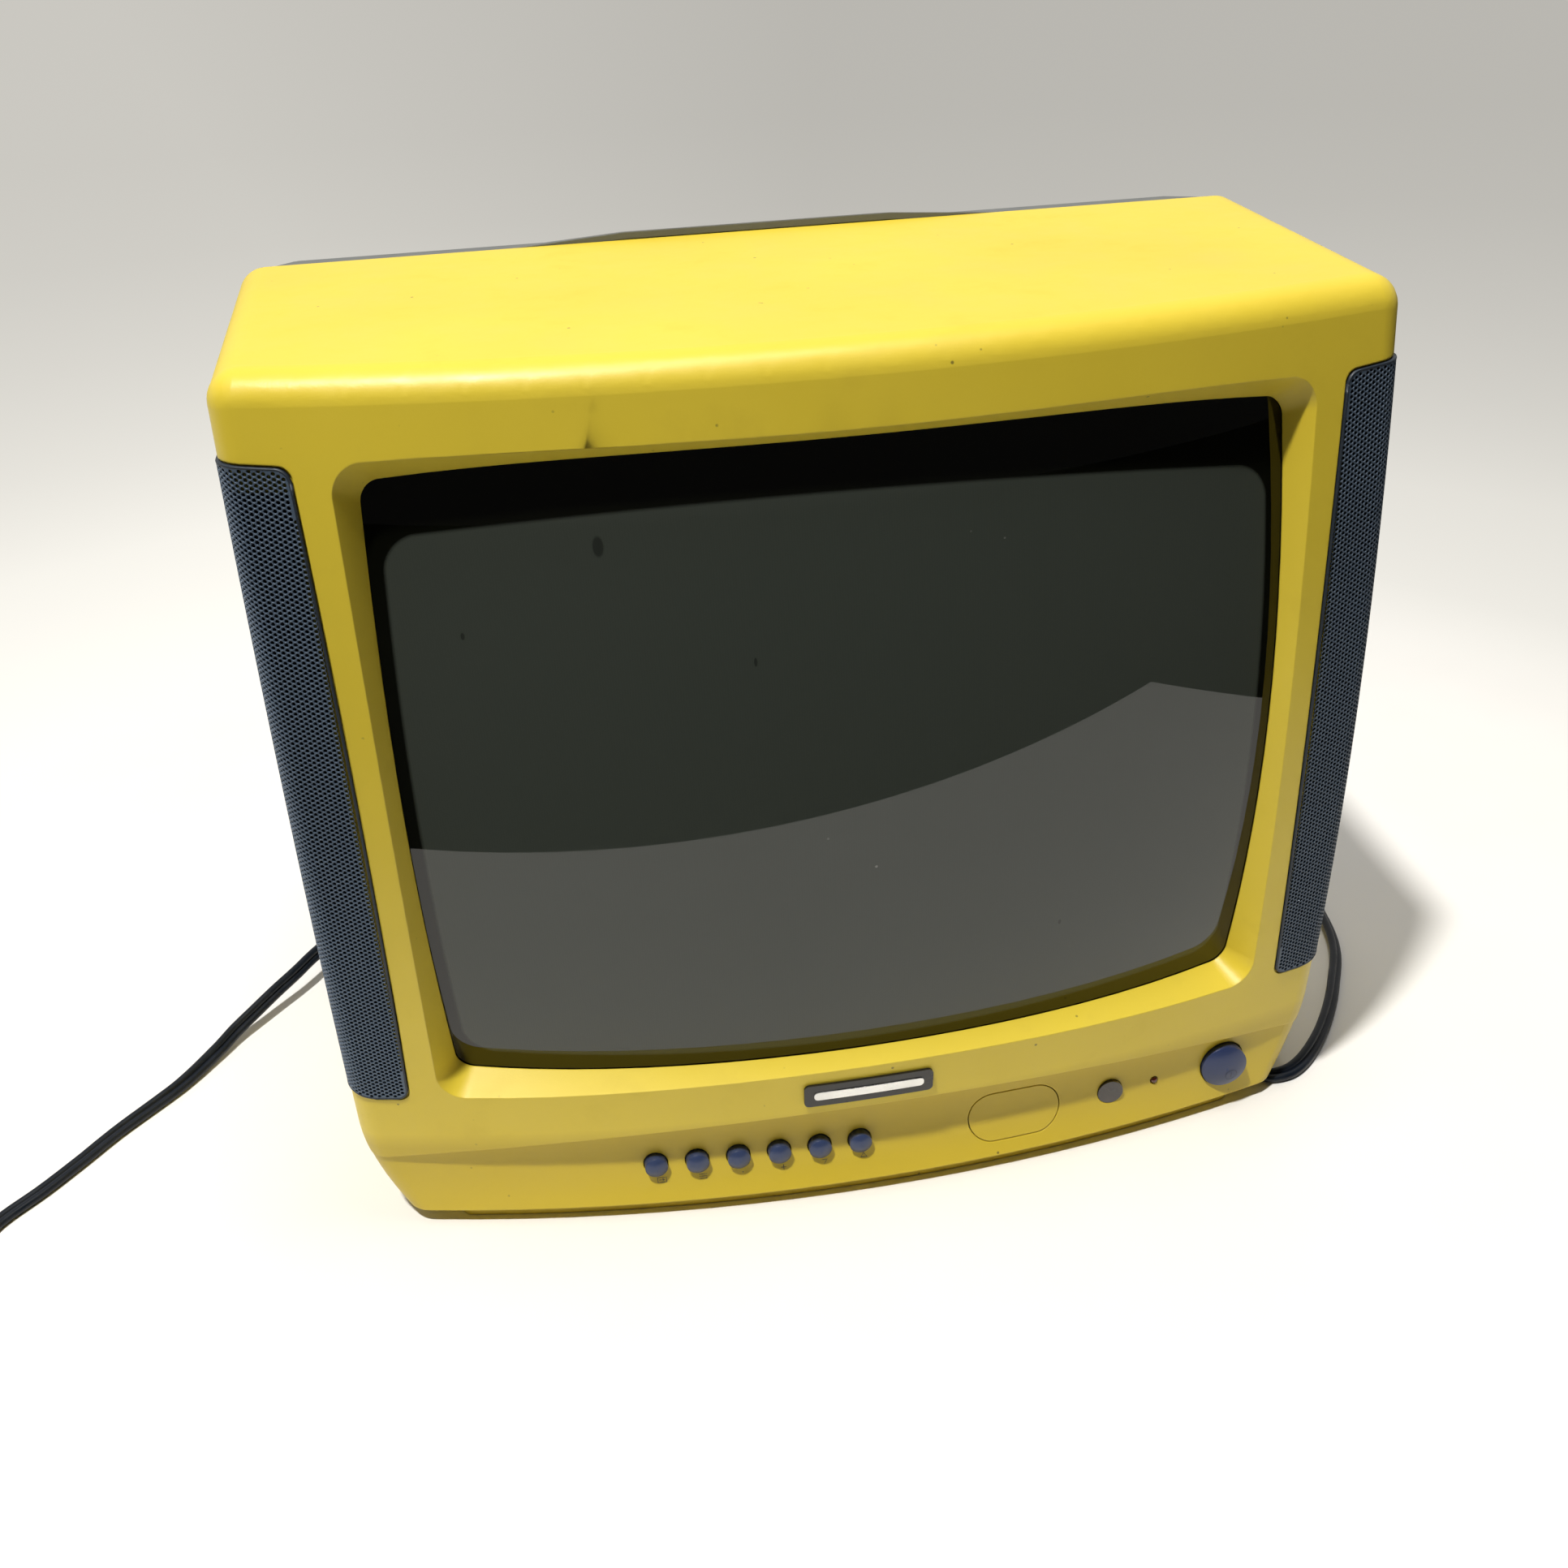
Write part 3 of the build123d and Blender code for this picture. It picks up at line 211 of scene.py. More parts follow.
def rubber(name, colour, rough=0.6):
    s = Surface(name)
    dust = s.noise(120, 4, 0.6)
    pale = tuple(c * 1.6 + 0.01 for c in colour)
    shade = s.mix(s.ramp(dust, 0.5, 0.75, 0, 0.5), colour, pale)
    normal = s.bump(s.noise(900, 2), 0.2, 0.00005, s.soft_edges(0.0003))
    s.set(Base_Color=shade, Roughness=s.ramp(dust, 0.3, 0.7, rough - 0.1, rough + 0.1), Normal=normal)
    return s.material


# ---------------------------------------------------------------- surfaces of the pieces

YELLOW = (0.74, 0.57, 0.045)
YELLOW_DARK = (0.58, 0.43, 0.028)


def picture_glass():
    """Coated glass: grey phosphor behind the front, a black border, graphite on the funnel. The
    border's inner edge bulges on all four sides and has rounded corners."""
    s = Surface("picture_glass")
    x, y, z = s.axes()
    shift, half_wide, half_tall, middle_z, radius = 0.0008, 0.141, 0.1, 0.170, 0.010
    across = s.math("ABSOLUTE", s.math("ADD", x, shift))
    share = s.math("POWER", s.math("DIVIDE", across, half_wide), 2.0)
    tilt = s.math("MULTIPLY_ADD", x, -0.0135, 0.2700)
    top = s.math("MULTIPLY_ADD", share, -0.0085, tilt)
    low = s.math("MULTIPLY_ADD", share, 0.0075, 0.0680)
    level = s.math("POWER", s.math("DIVIDE", s.math("SUBTRACT", z, middle_z), half_tall), 2.0)
    side = s.math("MULTIPLY_ADD", level, -0.0030, 0.1403)
    out_x = s.math("ADD", s.math("SUBTRACT", across, side), radius)
    above_or_below = s.math("MAXIMUM", s.math("SUBTRACT", z, top), s.math("SUBTRACT", low, z))
    out_z = s.math("ADD", above_or_below, radius)
    beyond_x = s.math("MAXIMUM", out_x, 0.0)
    beyond_z = s.math("MAXIMUM", out_z, 0.0)
    reach = s.math("SQRT", s.math("ADD", s.math("POWER", beyond_x, 2.0), s.math("POWER", beyond_z, 2.0)))
    border = s.ramp(s.math("SUBTRACT", reach, radius), -0.0006, 0.0006)
    stripes = s.math("SINE", s.math("MULTIPLY", x, 2 * math.pi / 0.0008))
    grey = s.mix(s.ramp(stripes, -1, 1, 0, 0.12), (0.042, 0.049, 0.041), (0.026, 0.031, 0.026))
    cloud = s.noise(6, 2)
    grey = s.mix(s.ramp(cloud, 0.35, 0.7, 0, 0.12), grey, (0.060, 0.062, 0.052))
    grey = s.mix(smudge_mask(s), grey, (0.012, 0.014, 0.012))
    front = s.mix(border, grey, (0.0025, 0.0028, 0.0015))
    dust = s.math("MULTIPLY", s.ramp(s.spots(75), 0.045, 0.025), s.ramp(s.noise(23, 1), 0.60, 0.63))
    front = s.mix(s.math("MULTIPLY", dust, 0.5), front, (0.30, 0.30, 0.28))
    funnel = s.mix(s.ramp(s.noise(30, 4), 0.4, 0.7), (0.018, 0.018, 0.019), (0.035, 0.034, 0.034))
    neck = s.ramp(y, 0.195, 0.205)
    funnel = s.mix(neck, funnel, (0.11, 0.12, 0.12))
    shade = s.mix(s.ramp(y, 0.040, 0.046), front, funnel)
    film = s.noise(18, 4, 0.6)
    s.set(Base_Color=shade, Roughness=0.6, Coat_Weight=s.ramp(y, 0.11, 0.12, 1.0, 0.2),
          Coat_IOR=1.52, Coat_Roughness=s.ramp(film, 0.45, 0.75, 0.008, 0.05))
    s.shader.inputs["Specular IOR Level"].default_value = 0.0
    return s.material


def smudge_mask(s):
    """A few small marks on the glass, each as (x, z, half width, half height)."""
    marks = [(-0.0761, 0.2593, 0.0016, 0.0030), (-0.1189, 0.2339, 0.0006, 0.0011),
             (-0.0324, 0.2207, 0.0005, 0.0014), (0.0703, 0.1069, 0.0006, 0.0010)]
    x, _, z = s.axes()
    total = 0.0
    for mark_x, mark_z, half, tall in marks:
        dx = s.math("DIVIDE", s.math("SUBTRACT", x, mark_x), half)
        dz = s.math("DIVIDE", s.math("SUBTRACT", z, mark_z), tall)
        away = s.math("SQRT", s.math("ADD", s.math("POWER", dx, 2.0), s.math("POWER", dz, 2.0)))
        total = s.math("ADD", s.ramp(away, 1.15, 0.85, 0, 0.7), total)
    return total


def board_surface():
    """Green board with pale printed outlines and solder specks."""
    s = Surface("circuit_board")
    copper = s.node("TexVoronoi", {"Vector": s.place, "Scale": 140.0}, feature="DISTANCE_TO_EDGE")
    tracks = s.ramp(copper.outputs["Distance"], 0.05, 0.08)
    shade = s.mix(tracks, (0.045, 0.16, 0.06), (0.03, 0.10, 0.045))
    pads = s.ramp(s.spots(260), 0.22, 0.18)
    shade = s.mix(s.math("MULTIPLY", pads, 0.6), shade, (0.6, 0.6, 0.58))
    normal = s.bump(s.noise(400, 2), 0.1, 0.00005)
    s.set(Base_Color=shade, Roughness=0.45, Normal=normal)
    return s.material


def winding_surface(name, colour, darker, pitch, axis="Y"):
    """Close turns of wire or tape, with painted shade in the grooves between the turns."""
    s = Surface(name)
    along = dict(zip("XYZ", s.axes()))[axis]
    turns = s.math("SINE", s.math("MULTIPLY", along, 2 * math.pi / pitch))
    # painted shade: the darker colour lies in the grooves between turns
    shade = s.mix(s.ramp(turns, -0.6, 0.6), darker, colour)
    shade = s.mix(s.ramp(s.noise(60, 4), 0.5, 0.75, 0, 0.4), shade, darker)
    normal = s.bump(turns, 0.5, pitch * 0.3)
    s.set(Base_Color=shade, Roughness=0.4, Normal=normal)
    return s.material


def capacitor_surface():
    """Printed sleeve with a pale stripe down one side and a bare metal top."""
    s = Surface("capacitor_sleeve")
    facing = s.node("NewGeometry").outputs["Normal"]
    split = s.node("SeparateXYZ", {"Vector": facing})
    stripe = s.ramp(split.outputs["X"], 0.90, 0.93)
    lid = s.ramp(split.outputs["Z"], 0.8, 0.9)
    shade = s.mix(stripe, (0.012, 0.016, 0.05), (0.45, 0.47, 0.5))
    shade = s.mix(lid, shade, (0.6, 0.6, 0.6))
    s.set(Base_Color=shade, Metallic=lid, Roughness=s.ramp(s.noise(80, 3), 0.3, 0.7, 0.3, 0.45))
    return s.material


def ferrite_surface():
    s = Surface("ferrite")
    grain = s.noise(700, 3, 0.7)
    shade = s.mix(s.ramp(grain, 0.35, 0.7), (0.035, 0.034, 0.036), (0.09, 0.088, 0.09))
    s.set(Base_Color=shade, Roughness=0.7, Normal=s.bump(grain, 0.4, 0.0001, s.soft_edges(0.0006)))
    return s.material


def paper_surface():
    s = Surface("cone_paper")
    fibres = s.noise(900, 3, 0.7, stretch=(1, 1, 0.2))
    shade = s.mix(s.ramp(fibres, 0.35, 0.7), (0.03, 0.03, 0.03), (0.07, 0.068, 0.064))
    s.set(Base_Color=shade, Roughness=0.95, Normal=s.bump(fibres, 0.5, 0.0001))
    return s.material


def lamp_surface():
    s = Surface("standby_lamp")
    tint = s.mix(s.ramp(s.noise(300, 2), 0.3, 0.7), (0.10, 0.012, 0.008), (0.05, 0.008, 0.006))
    s.set(Base_Color=tint, Roughness=0.15, Coat_Weight=0.6, Coat_Roughness=0.05,
          Normal=s.bump(s.noise(600, 2), 0.05, 0.00003))
    return s.material


def smoked_surface():
    """Dark window over the remote-control receiver."""
    s = Surface("smoked_window")
    depth = s.mix(s.ramp(s.noise(150, 3), 0.35, 0.7), (0.030, 0.026, 0.026), (0.055, 0.045, 0.042))
    s.set(Base_Color=depth, Roughness=s.ramp(s.noise(90, 3), 0.35, 0.7, 0.18, 0.35), Coat_Weight=0.5,
          Coat_Roughness=0.1, Normal=s.bump(s.noise(500, 2), 0.06, 0.00003, s.soft_edges(0.0003)))
    return s.material


def cord_surface():
    """Black flexible PVC with a faint blue cast and handling dust."""
    s = Surface("cord_black")
    dust = s.noise(150, 4, 0.6)
    shade = s.mix(s.ramp(dust, 0.5, 0.75, 0, 0.4), (0.004, 0.007, 0.013), (0.012, 0.016, 0.024))
    normal = s.bump(s.noise(700, 2), 0.15, 0.00006)
    s.set(Base_Color=shade, Roughness=s.ramp(dust, 0.3, 0.7, 0.32, 0.48), Normal=normal)
    s.shader.inputs["Specular IOR Level"].default_value = 0.3
    return s.material


def perforated_metal(name, strength):
    """Painted steel of the grilles: satin blue-grey with pale specks. Less strength is darker, which paints
    shade into the colour.
    """
    s = Surface(name)
    cloud = s.noise(25, 3)
    shade = s.mix(s.ramp(cloud, 0.35, 0.7, 0, 0.5), (0.074, 0.108, 0.157), (0.054, 0.080, 0.119))
    specks = s.noise(1500, 2, 0.6)
    shade = s.mix(s.ramp(specks, 0.55, 0.75, 0, 0.3), shade, (0.18, 0.23, 0.30))
    # painted shade: less strength blends the colour towards black
    shade = s.mix(strength, (0.004, 0.005, 0.007), shade)
    s.set(Base_Color=shade, Roughness=s.ramp(specks, 0.3, 0.7, 0.38, 0.55), Metallic=0.15,
          Normal=s.bump(specks, 0.25, 0.00003))
    return s.material


def shade_sheet_surface():
    """Painted shade behind the grilles' holes: a dark woven sheet where there is only shade."""
    s = Surface("painted_shade_behind_holes")
    x, y, z = s.axes()
    threads = 9000
    weave = s.math("MULTIPLY", s.math("SINE", s.math("MULTIPLY", z, threads)),
                   s.math("SINE", s.math("MULTIPLY", s.math("ADD", x, y), threads)))
    shade = s.mix(s.ramp(weave, -1, 1), (0.006, 0.008, 0.013), (0.016, 0.020, 0.030))
    s.set(Base_Color=shade, Roughness=1.0, Normal=s.bump(weave, 0.5, 0.0001))
    return s.material


def print_ink():
    """Brown print on the yellow panel, half worn off."""
    s = Surface("print_ink")
    worn = s.noise(1200, 3, 0.6)
    shade = s.mix(s.ramp(worn, 0.45, 0.62), (0.10, 0.085, 0.05), (0.34, 0.27, 0.05))
    s.set(Base_Color=shade, Roughness=0.6)
    return s.material


def icon_ink():
    """Dark print on the power button."""
    s = Surface("icon_ink")
    worn = s.noise(1500, 3, 0.6)
    shade = s.mix(s.ramp(worn, 0.45, 0.65), (0.006, 0.012, 0.05), (0.02, 0.035, 0.10))
    s.set(Base_Color=shade, Roughness=0.4)
    return s.material


def cad_surfaces():
    """One surface per kind of piece, with the CAD nodes that wear it."""
    yellow = grained_plastic("yellow_plastic", YELLOW, YELLOW_DARK, 0.40, specks=0.7)
    dark_shell = grained_plastic("dark_plastic", (0.125, 0.132, 0.128), (0.085, 0.090, 0.088), 0.5,
                                 grain=900.0, depth=0.00012)
    black_part = smooth_plastic("potting_black", (0.02, 0.02, 0.021), 0.35)
    blue = smooth_plastic("button_blue", (0.030, 0.048, 0.120), 0.30, coat=0.15)
    power_blue = smooth_plastic("power_blue", (0.020, 0.034, 0.100), 0.28, coat=0.1, vary=0.2)
    steel = metal("zinc_steel", (0.62, 0.61, 0.58), 0.3)
    black_rubber = rubber("black_rubber", (0.012, 0.012, 0.012))
    return [
        (yellow, "front_cabinet blanking_insert"),
        (dark_shell, "rear_cover"),
        (smooth_plastic("badge_black", (0.006, 0.006, 0.007), 0.25, coat=0.3), "badge_plate"),
        (metal("badge_silver", (0.80, 0.80, 0.79), 0.22, brushed=(0.1, 1, 1)), "badge_stripe"),
        (blue, " ".join(f"control_button_{i}" for i in range(1, 7))),
        (power_blue, "power_button"),
        (smooth_plastic("switch_plastic", (0.35, 0.34, 0.32), 0.45), "power_switch"),
        (metal("spring_steel", (0.55, 0.54, 0.52), 0.25), "power_button_spring"),
        (board_surface(), "key_board neck_board main_board"),
        (steel, "key_board_screws board_screws cover_screws tube_screws tuner"),
        (smooth_plastic("tact_black", (0.025, 0.025, 0.027), 0.4), "tact_switches"),
        (smoked_surface(), "infrared_window infrared_receiver"),
        (lamp_surface(), "standby_lamp"),
        (picture_glass(), "picture_tube_glass"),
        (grained_plastic("phosphor", (0.55, 0.56, 0.52), (0.45, 0.46, 0.43), 0.9), "phosphor_screen"),
        (metal("mask_steel", (0.30, 0.30, 0.31), 0.45, brushed=(1, 1, 0.1)), "shadow_mask electron_gun"),
        (metal("band_steel", (0.45, 0.44, 0.42), 0.35, brushed=(1, 0.1, 1)), "tension_band speaker_frames"),
        (ferrite_surface(), "deflection_yoke line_filter speaker_magnets"),
        (winding_surface("copper", (0.62, 0.25, 0.10), (0.25, 0.08, 0.03), 0.0008), "yoke_windings"),
        (smooth_plastic("ring_plastic", (0.62, 0.60, 0.55), 0.45), "neck_rings"),
        (winding_surface("coil_tape", (0.05, 0.05, 0.055), (0.015, 0.015, 0.016), 0.006, "X"),
         "degaussing_coil"),
        (black_rubber, "anode_cap cord_grip rear_feet"),
        (smooth_plastic("lead_red", (0.45, 0.02, 0.015), 0.35), "anode_lead"),
        (smooth_plastic("lead_grey", (0.22, 0.22, 0.23), 0.4), "wiring_leads"),
        (paper_surface(), "speaker_cones"),
        (smooth_plastic("rail_plastic", (0.10, 0.10, 0.10), 0.5), "chassis_rails"),
        (black_part, "flyback_transformer power_transistors circuit_chips av_sockets"),
        (metal("aluminium", (0.72, 0.72, 0.72), 0.35, brushed=(1, 1, 0.1)), "heat_sink"),
        (capacitor_surface(), "capacitors"),
        (winding_surface("transformer_tape", (0.75, 0.55, 0.10), (0.45, 0.30, 0.05), 0.004, "Z"),
         "switching_transformer"),
        (smooth_plastic("fuse_glass", (0.45, 0.47, 0.46), 0.1, coat=1.0), "mains_fuse"),
        (cord_surface(), "mains_cord mains_plug"),
    ]


for material, names in cad_surfaces():
    for name in names.split():
        nodes[name].data.materials.clear()
        nodes[name].data.materials.append(material)


# ---------------------------------------------------------------- shape of the skin
# These few dimensions repeat the CAD's driving dimensions, in millimetres, with y = 0 at the
# front-most point of the face; the row frame lies ORIGIN_Y behind it.

ORIGIN_Y = 19.0
FACE_ACROSS, FACE_UP, FACE_MID_Z = 709.0, 1118.0, 173.0
HALF_WIDTH, SIDE_DRAFT = 180.1, 5.6 / 168
GRILLE_PROUD, GRILLE_CORNER, GRILLE_BACK = 0.5, 9.5, 48.0
PANEL_LEVELS = [(45.0, 12.8, 900.0), (21.0, 14.0, 850.0), (6.0, 8.5, 683.0)]
CONTROL_Z = 21.0


def sag(x, radius):
    return radius - math.sqrt(radius * radius - x * x)


def panel_depth(x, z):
    """Depth of the control panel's face."""
    levels = [(height, depth + sag(x, radius)) for height, depth, radius in PANEL_LEVELS]
    total = 0.0
    for height, at_height in levels:
        a, b = [other for other, _ in levels if other != height]
        total += at_height * (z - a) * (z - b) / ((height - a) * (height - b))
    return total


def in_frame(x, y, z):
    """Millimetres from the front-most point to metres in the row frame."""
    return (x * MM, (y - ORIGIN_Y) * MM, z * MM)


def new_piece(name, points, faces, material, body=TELEVISION):
    mesh = bpy.data.meshes.new(name)
    mesh.from_pydata(points, [], faces)
    mesh.validate()
    mesh.polygons.foreach_set("use_smooth", [True] * len(mesh.polygons))
    mesh.materials.append(material)
    piece = bpy.data.objects.new(name, mesh)
    scene.collection.objects.link(piece)
    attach(piece, body)
    return piece


# ---------------------------------------------------------------- speaker grilles

HOLE_PITCH = 1.65          # between holes in a column
COLUMN_PITCH = 1.4         # every other column is raised by half a hole's pitch
HOLE_RADIUS = 0.62
RIM_RADIUS = 0.71          # outer edge of the dished rim round a hole
RIM_SINK = 0.12
EDGE_GAP = 0.3             # between the steel and the cabinet, beyond the CAD's gap
SHEET = 0.8                # thickness of the steel
HOLE_SIDES = 12
SHADE_SHEET_DEPTH = 1.25         # of the painted-shade sheet below the outer skin

# outline of a grille: its inner edge is waisted, its lower edge steps up round the side and its
# upper edge climbs outwards
INNER_X, INNER_WAIST, INNER_MID_Z, INNER_HALF = 160.4, 2.2, 174.0, 114.0
LOW_Z, LOW_STEP, LOW_STEP_FROM, LOW_STEP_TO = 60.8, 4.2, 172.0, 184.0
HIGH_Z, HIGH_CLIMB = 288.4, 2.8 / 39.6
OUTLINE_CORNER = 4.2
LOWEST_SECTION, HIGHEST_SECTION = 62.0, 290.0


class GrilleSkin:
    """The right grille's outer skin, measured along the skin (u) and up (z); u = 0 where the
    front face runs into the rounded corner."""

    def __init__(self):
        self.levels = {}

    def section(self, z):
        """The level section: arc centre of the corner, its two end angles and the run lengths."""
        key = round(z, 2)
        if key not in self.levels:
            p = sag(z - FACE_MID_Z, FACE_UP + GRILLE_PROUD) - GRILLE_PROUD
            big = FACE_ACROSS - p
            cx, cy = 171.0, 30.0        # first guess, improved in turns until it settles
            slope = math.hypot(1, SIDE_DRAFT)
            for _ in range(30):
                cy = FACE_ACROSS - math.sqrt((big - GRILLE_CORNER) ** 2 - cx * cx)
                cx = HALF_WIDTH + GRILLE_PROUD + SIDE_DRAFT * cy - GRILLE_CORNER * slope
            start = math.atan2(cy - FACE_ACROSS, cx)
            end = math.atan2(-SIDE_DRAFT, 1)
            side_start = cy + GRILLE_CORNER * math.sin(end)
            inner_x = INNER_X - INNER_WAIST * (1 - ((z - INNER_MID_Z) / INNER_HALF) ** 2)
            front_run = big * (start - math.atan2(-math.sqrt(big * big - inner_x ** 2), inner_x))
            side_run = (GRILLE_BACK - side_start) * slope
            self.levels[key] = (big, cx, cy, start, end, abs(front_run), side_start, side_run)
        return self.levels[key]

    def limits(self, z):
        _, _, _, start, end, front_run, _, side_run = self.section(z)
        return EDGE_GAP - front_run, GRILLE_CORNER * (end - start) + side_run - EDGE_GAP

    def point(self, u, z, depth=0.0):
        """X and Y of the skin, or of a sheet lying depth below it."""
        big, cx, cy, start, end, _, side_start, _ = self.section(z)
        arc = GRILLE_CORNER * (end - start)
        if u < 0:
            angle = start + u / big
            radius = big - depth
            return radius * math.cos(angle), FACE_ACROSS + radius * math.sin(angle)
        if u < arc:
            angle = start + u / GRILLE_CORNER
            radius = GRILLE_CORNER - depth
            return cx + radius * math.cos(angle), cy + radius * math.sin(angle)
        slope = math.hypot(1, SIDE_DRAFT)
        y = side_start + (u - arc) / slope
        x = cx + GRILLE_CORNER * math.cos(end) + SIDE_DRAFT * (y - side_start)
        return x - depth / slope, y + depth * SIDE_DRAFT / slope

    def span(self, u, z):
        """Lowest and highest z of the outline in the column through (u, z)."""
        x, _ = self.point(u, z)
        low = LOW_Z + EDGE_GAP
        if x > LOW_STEP_FROM:
            share = min(1.0, (x - LOW_STEP_FROM) / (LOW_STEP_TO - LOW_STEP_FROM))
            low += LOW_STEP * share ** 1.6
        high = HIGH_Z - EDGE_GAP + (x - INNER_X) * HIGH_CLIMB
        inset = u - self.limits(z)[0]
        if inset < OUTLINE_CORNER:
            short = OUTLINE_CORNER - max(inset, 0.0)
            round_off = OUTLINE_CORNER - math.sqrt(max(0.0, OUTLINE_CORNER ** 2 - short ** 2))
            low += round_off
            high -= round_off
        return low, high

    def settle(self, u, z):
        """(u, z) moved onto the outline if it lies outside."""
        section_z = min(max(z, LOWEST_SECTION), HIGHEST_SECTION)
        near, far = self.limits(section_z)
        u = min(max(u, near), far)
        low, high = self.span(u, section_z)
        return u, min(max(z, low), high)

    def inside(self, u, z, margin):
        near, far = self.limits(z)
        low, high = self.span(u, z)
        return near + margin < u < far - margin and low + margin < z < high - margin


skin = GrilleSkin()


def ring_of(u, z, radius):
    step = 2 * math.pi / HOLE_SIDES
    return [(u + radius * math.cos(step * i), z + radius * math.sin(step * i)) for i in range(HOLE_SIDES)]


def perforated_sheet():
    """Points and faces of the right grille's perforated steel, in millimetres."""
    points, faces, index = [], [], {}

    def corner(u, z):
        """A shared lattice point on the skin."""
        key = (round(u, 3), round(z, 3))
        if key not in index:
            settled_u, settled_z = skin.settle(u, z)
            x, y = skin.point(settled_u, settled_z)
            index[key] = len(points)
            points.append((x, y, settled_z))
        return index[key]

    def lowered(ring, depth):
        first = len(points)
        for u, z in ring:
            x, y = skin.point(u, z, depth)
            points.append((x, y, z))
        return list(range(first, first + len(ring)))

    def band(outer, inner):
        for i in range(HOLE_SIDES):
            j = (i + 1) % HOLE_SIDES
            faces.append((outer[i], outer[j], inner[j], inner[i]))

    # the six-sided cell round each hole, starting at the right and going up
    first_z, last_z = 60, 292
    tip = (COLUMN_PITCH ** 2 + HOLE_PITCH ** 2 / 4) / (2 * COLUMN_PITCH)
    shoulder = tip - HOLE_PITCH ** 2 / 4 / COLUMN_PITCH
    half = HOLE_PITCH / 2
    cell = [(tip, 0), (shoulder, half), (-shoulder, half),
            (-tip, 0), (-shoulder, -half), (shoulder, -half)]
    for column in range(-10, 26):
        u = column * COLUMN_PITCH
        for row in range(int((last_z - first_z) / HOLE_PITCH)):
            z = first_z + row * HOLE_PITCH + half * (column % 2)
            border = [corner(u + across, z + up) for across, up in cell]
            edge = ring_of(u, z, RIM_RADIUS)
            within = LOWEST_SECTION < z < HIGHEST_SECTION
            if not (within and all(skin.inside(a, b, 0.15) for a, b in edge)):
                faces.append(tuple(border))
                continue
            rim = lowered(edge, 0.0)
            lip = lowered(ring_of(u, z, HOLE_RADIUS), RIM_SINK)
            back = lowered(ring_of(u, z, HOLE_RADIUS), SHEET)
            for k in range(6):
                ring = [rim[i % HOLE_SIDES] for i in (2 * k + 2, 2 * k + 1, 2 * k)]
                faces.append((border[k], border[(k + 1) % 6], *ring))
            band(rim, lip)
            band(lip, back)
    return points, faces


def stepped(start, stop, step):
    """Values from start up to, but without, stop."""
    values = []
    value = start
    while value < stop:
        values.append(value)
        value += step
    return values


def outline_points(step=0.5, step_up=3):
    """The outline of the grille as (u, z), running round it once."""
    low_z, high_z = 66.0, 284.0
    near, far = skin.limits(low_z)
    line = [(u, skin.span(u, low_z)[0]) for u in stepped(near, far, step) + [far]]
    line += [(skin.limits(z)[1], z) for z in stepped(low_z, high_z, step_up)]
    near, far = skin.limits(high_z)
    line += [(-back, skin.span(-back, high_z)[1]) for back in stepped(-far, -near, step) + [-near]]
    line += [(skin.limits(-down)[0], -down) for down in stepped(-high_z, -low_z, step_up)]
    return line


def rim_strip():
    """The folded edge round the grille: a narrow rounded band and the wall below it."""
    points, faces = [], []
    outline = outline_points()
    centre_u, centre_z = 8.0, INNER_MID_Z
    profile = [(0.75, 0.05), (0.55, -0.10), (0.25, -0.10), (0.0, 0.10), (0.0, 1.3)]    # inset, depth
    count = len(outline)
    for i, (u, z) in enumerate(outline):
        before, after = outline[i - 1], outline[(i + 1) % count]
        along = Vector((after[0] - before[0], after[1] - before[1]))
        inward = Vector((-along.y, along.x)).normalized()
        if inward.dot(Vector((centre_u - u, centre_z - z))) < 0:
            inward = -inward
        for inset, depth in profile:
            at_u, at_z = u + inward.x * inset, z + inward.y * inset
            x, y = skin.point(at_u, at_z, depth)
            points.append((x, y, at_z))
    width = len(profile)
    for i in range(count):
        j = (i + 1) % count
        for k in range(width - 1):
            faces.append((i * width + k, j * width + k, j * width + k + 1, i * width + k + 1))
    return points, faces


def backing(top_gap):
    """The painted-shade sheet just behind the steel, which stops short of the top by the gap."""
    points, faces = [], []
    columns = [-13 + 1.5 * i for i in range(30)]
    levels = [61 + 3.0 * i for i in range(77)]
    for z in levels:
        for u in columns:
            settled_u, settled_z = skin.settle(u, min(z, HIGHEST_SECTION - top_gap))
            x, y = skin.point(settled_u, settled_z, SHADE_SHEET_DEPTH)
            points.append((x, y, settled_z))
    wide = len(columns)
    for row in range(len(levels) - 1):
        for column in range(wide - 1):
            a = row * wide + column
            faces.append((a, a + 1, a + wide + 1, a + wide))
    return points, faces


def add_grille_part(name, side, made, material, replaced=None):
    """One layer of the grille on the right (side 1), or its mirror image on the left (side -1)."""
    points, faces = made
    placed = [in_frame(side * x, y, z) for x, y, z in points]
    if side < 0:
        faces = [tuple(reversed(face)) for face in faces]
    piece = new_piece(name, placed, faces, material)
    cleaner = bmesh.new()
    cleaner.from_mesh(piece.data)
    bmesh.ops.dissolve_degenerate(cleaner, dist=1e-6, edges=cleaner.edges)
    cleaner.to_mesh(piece.data)
    cleaner.free()
    if replaced:
        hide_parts(replaced)


# painted shade: the right grille's steel is a little darker than the left one's, for the shade on that side
steels = {1: perforated_metal("grille_steel_right_shaded", 0.78), -1: perforated_metal("grille_metal", 1.0)}
# painted shade: the folded edge's steel is made nearly black, for the shade in the gap round the grille
shaded_fold_steel = perforated_metal("grille_fold_shaded", 0.22)
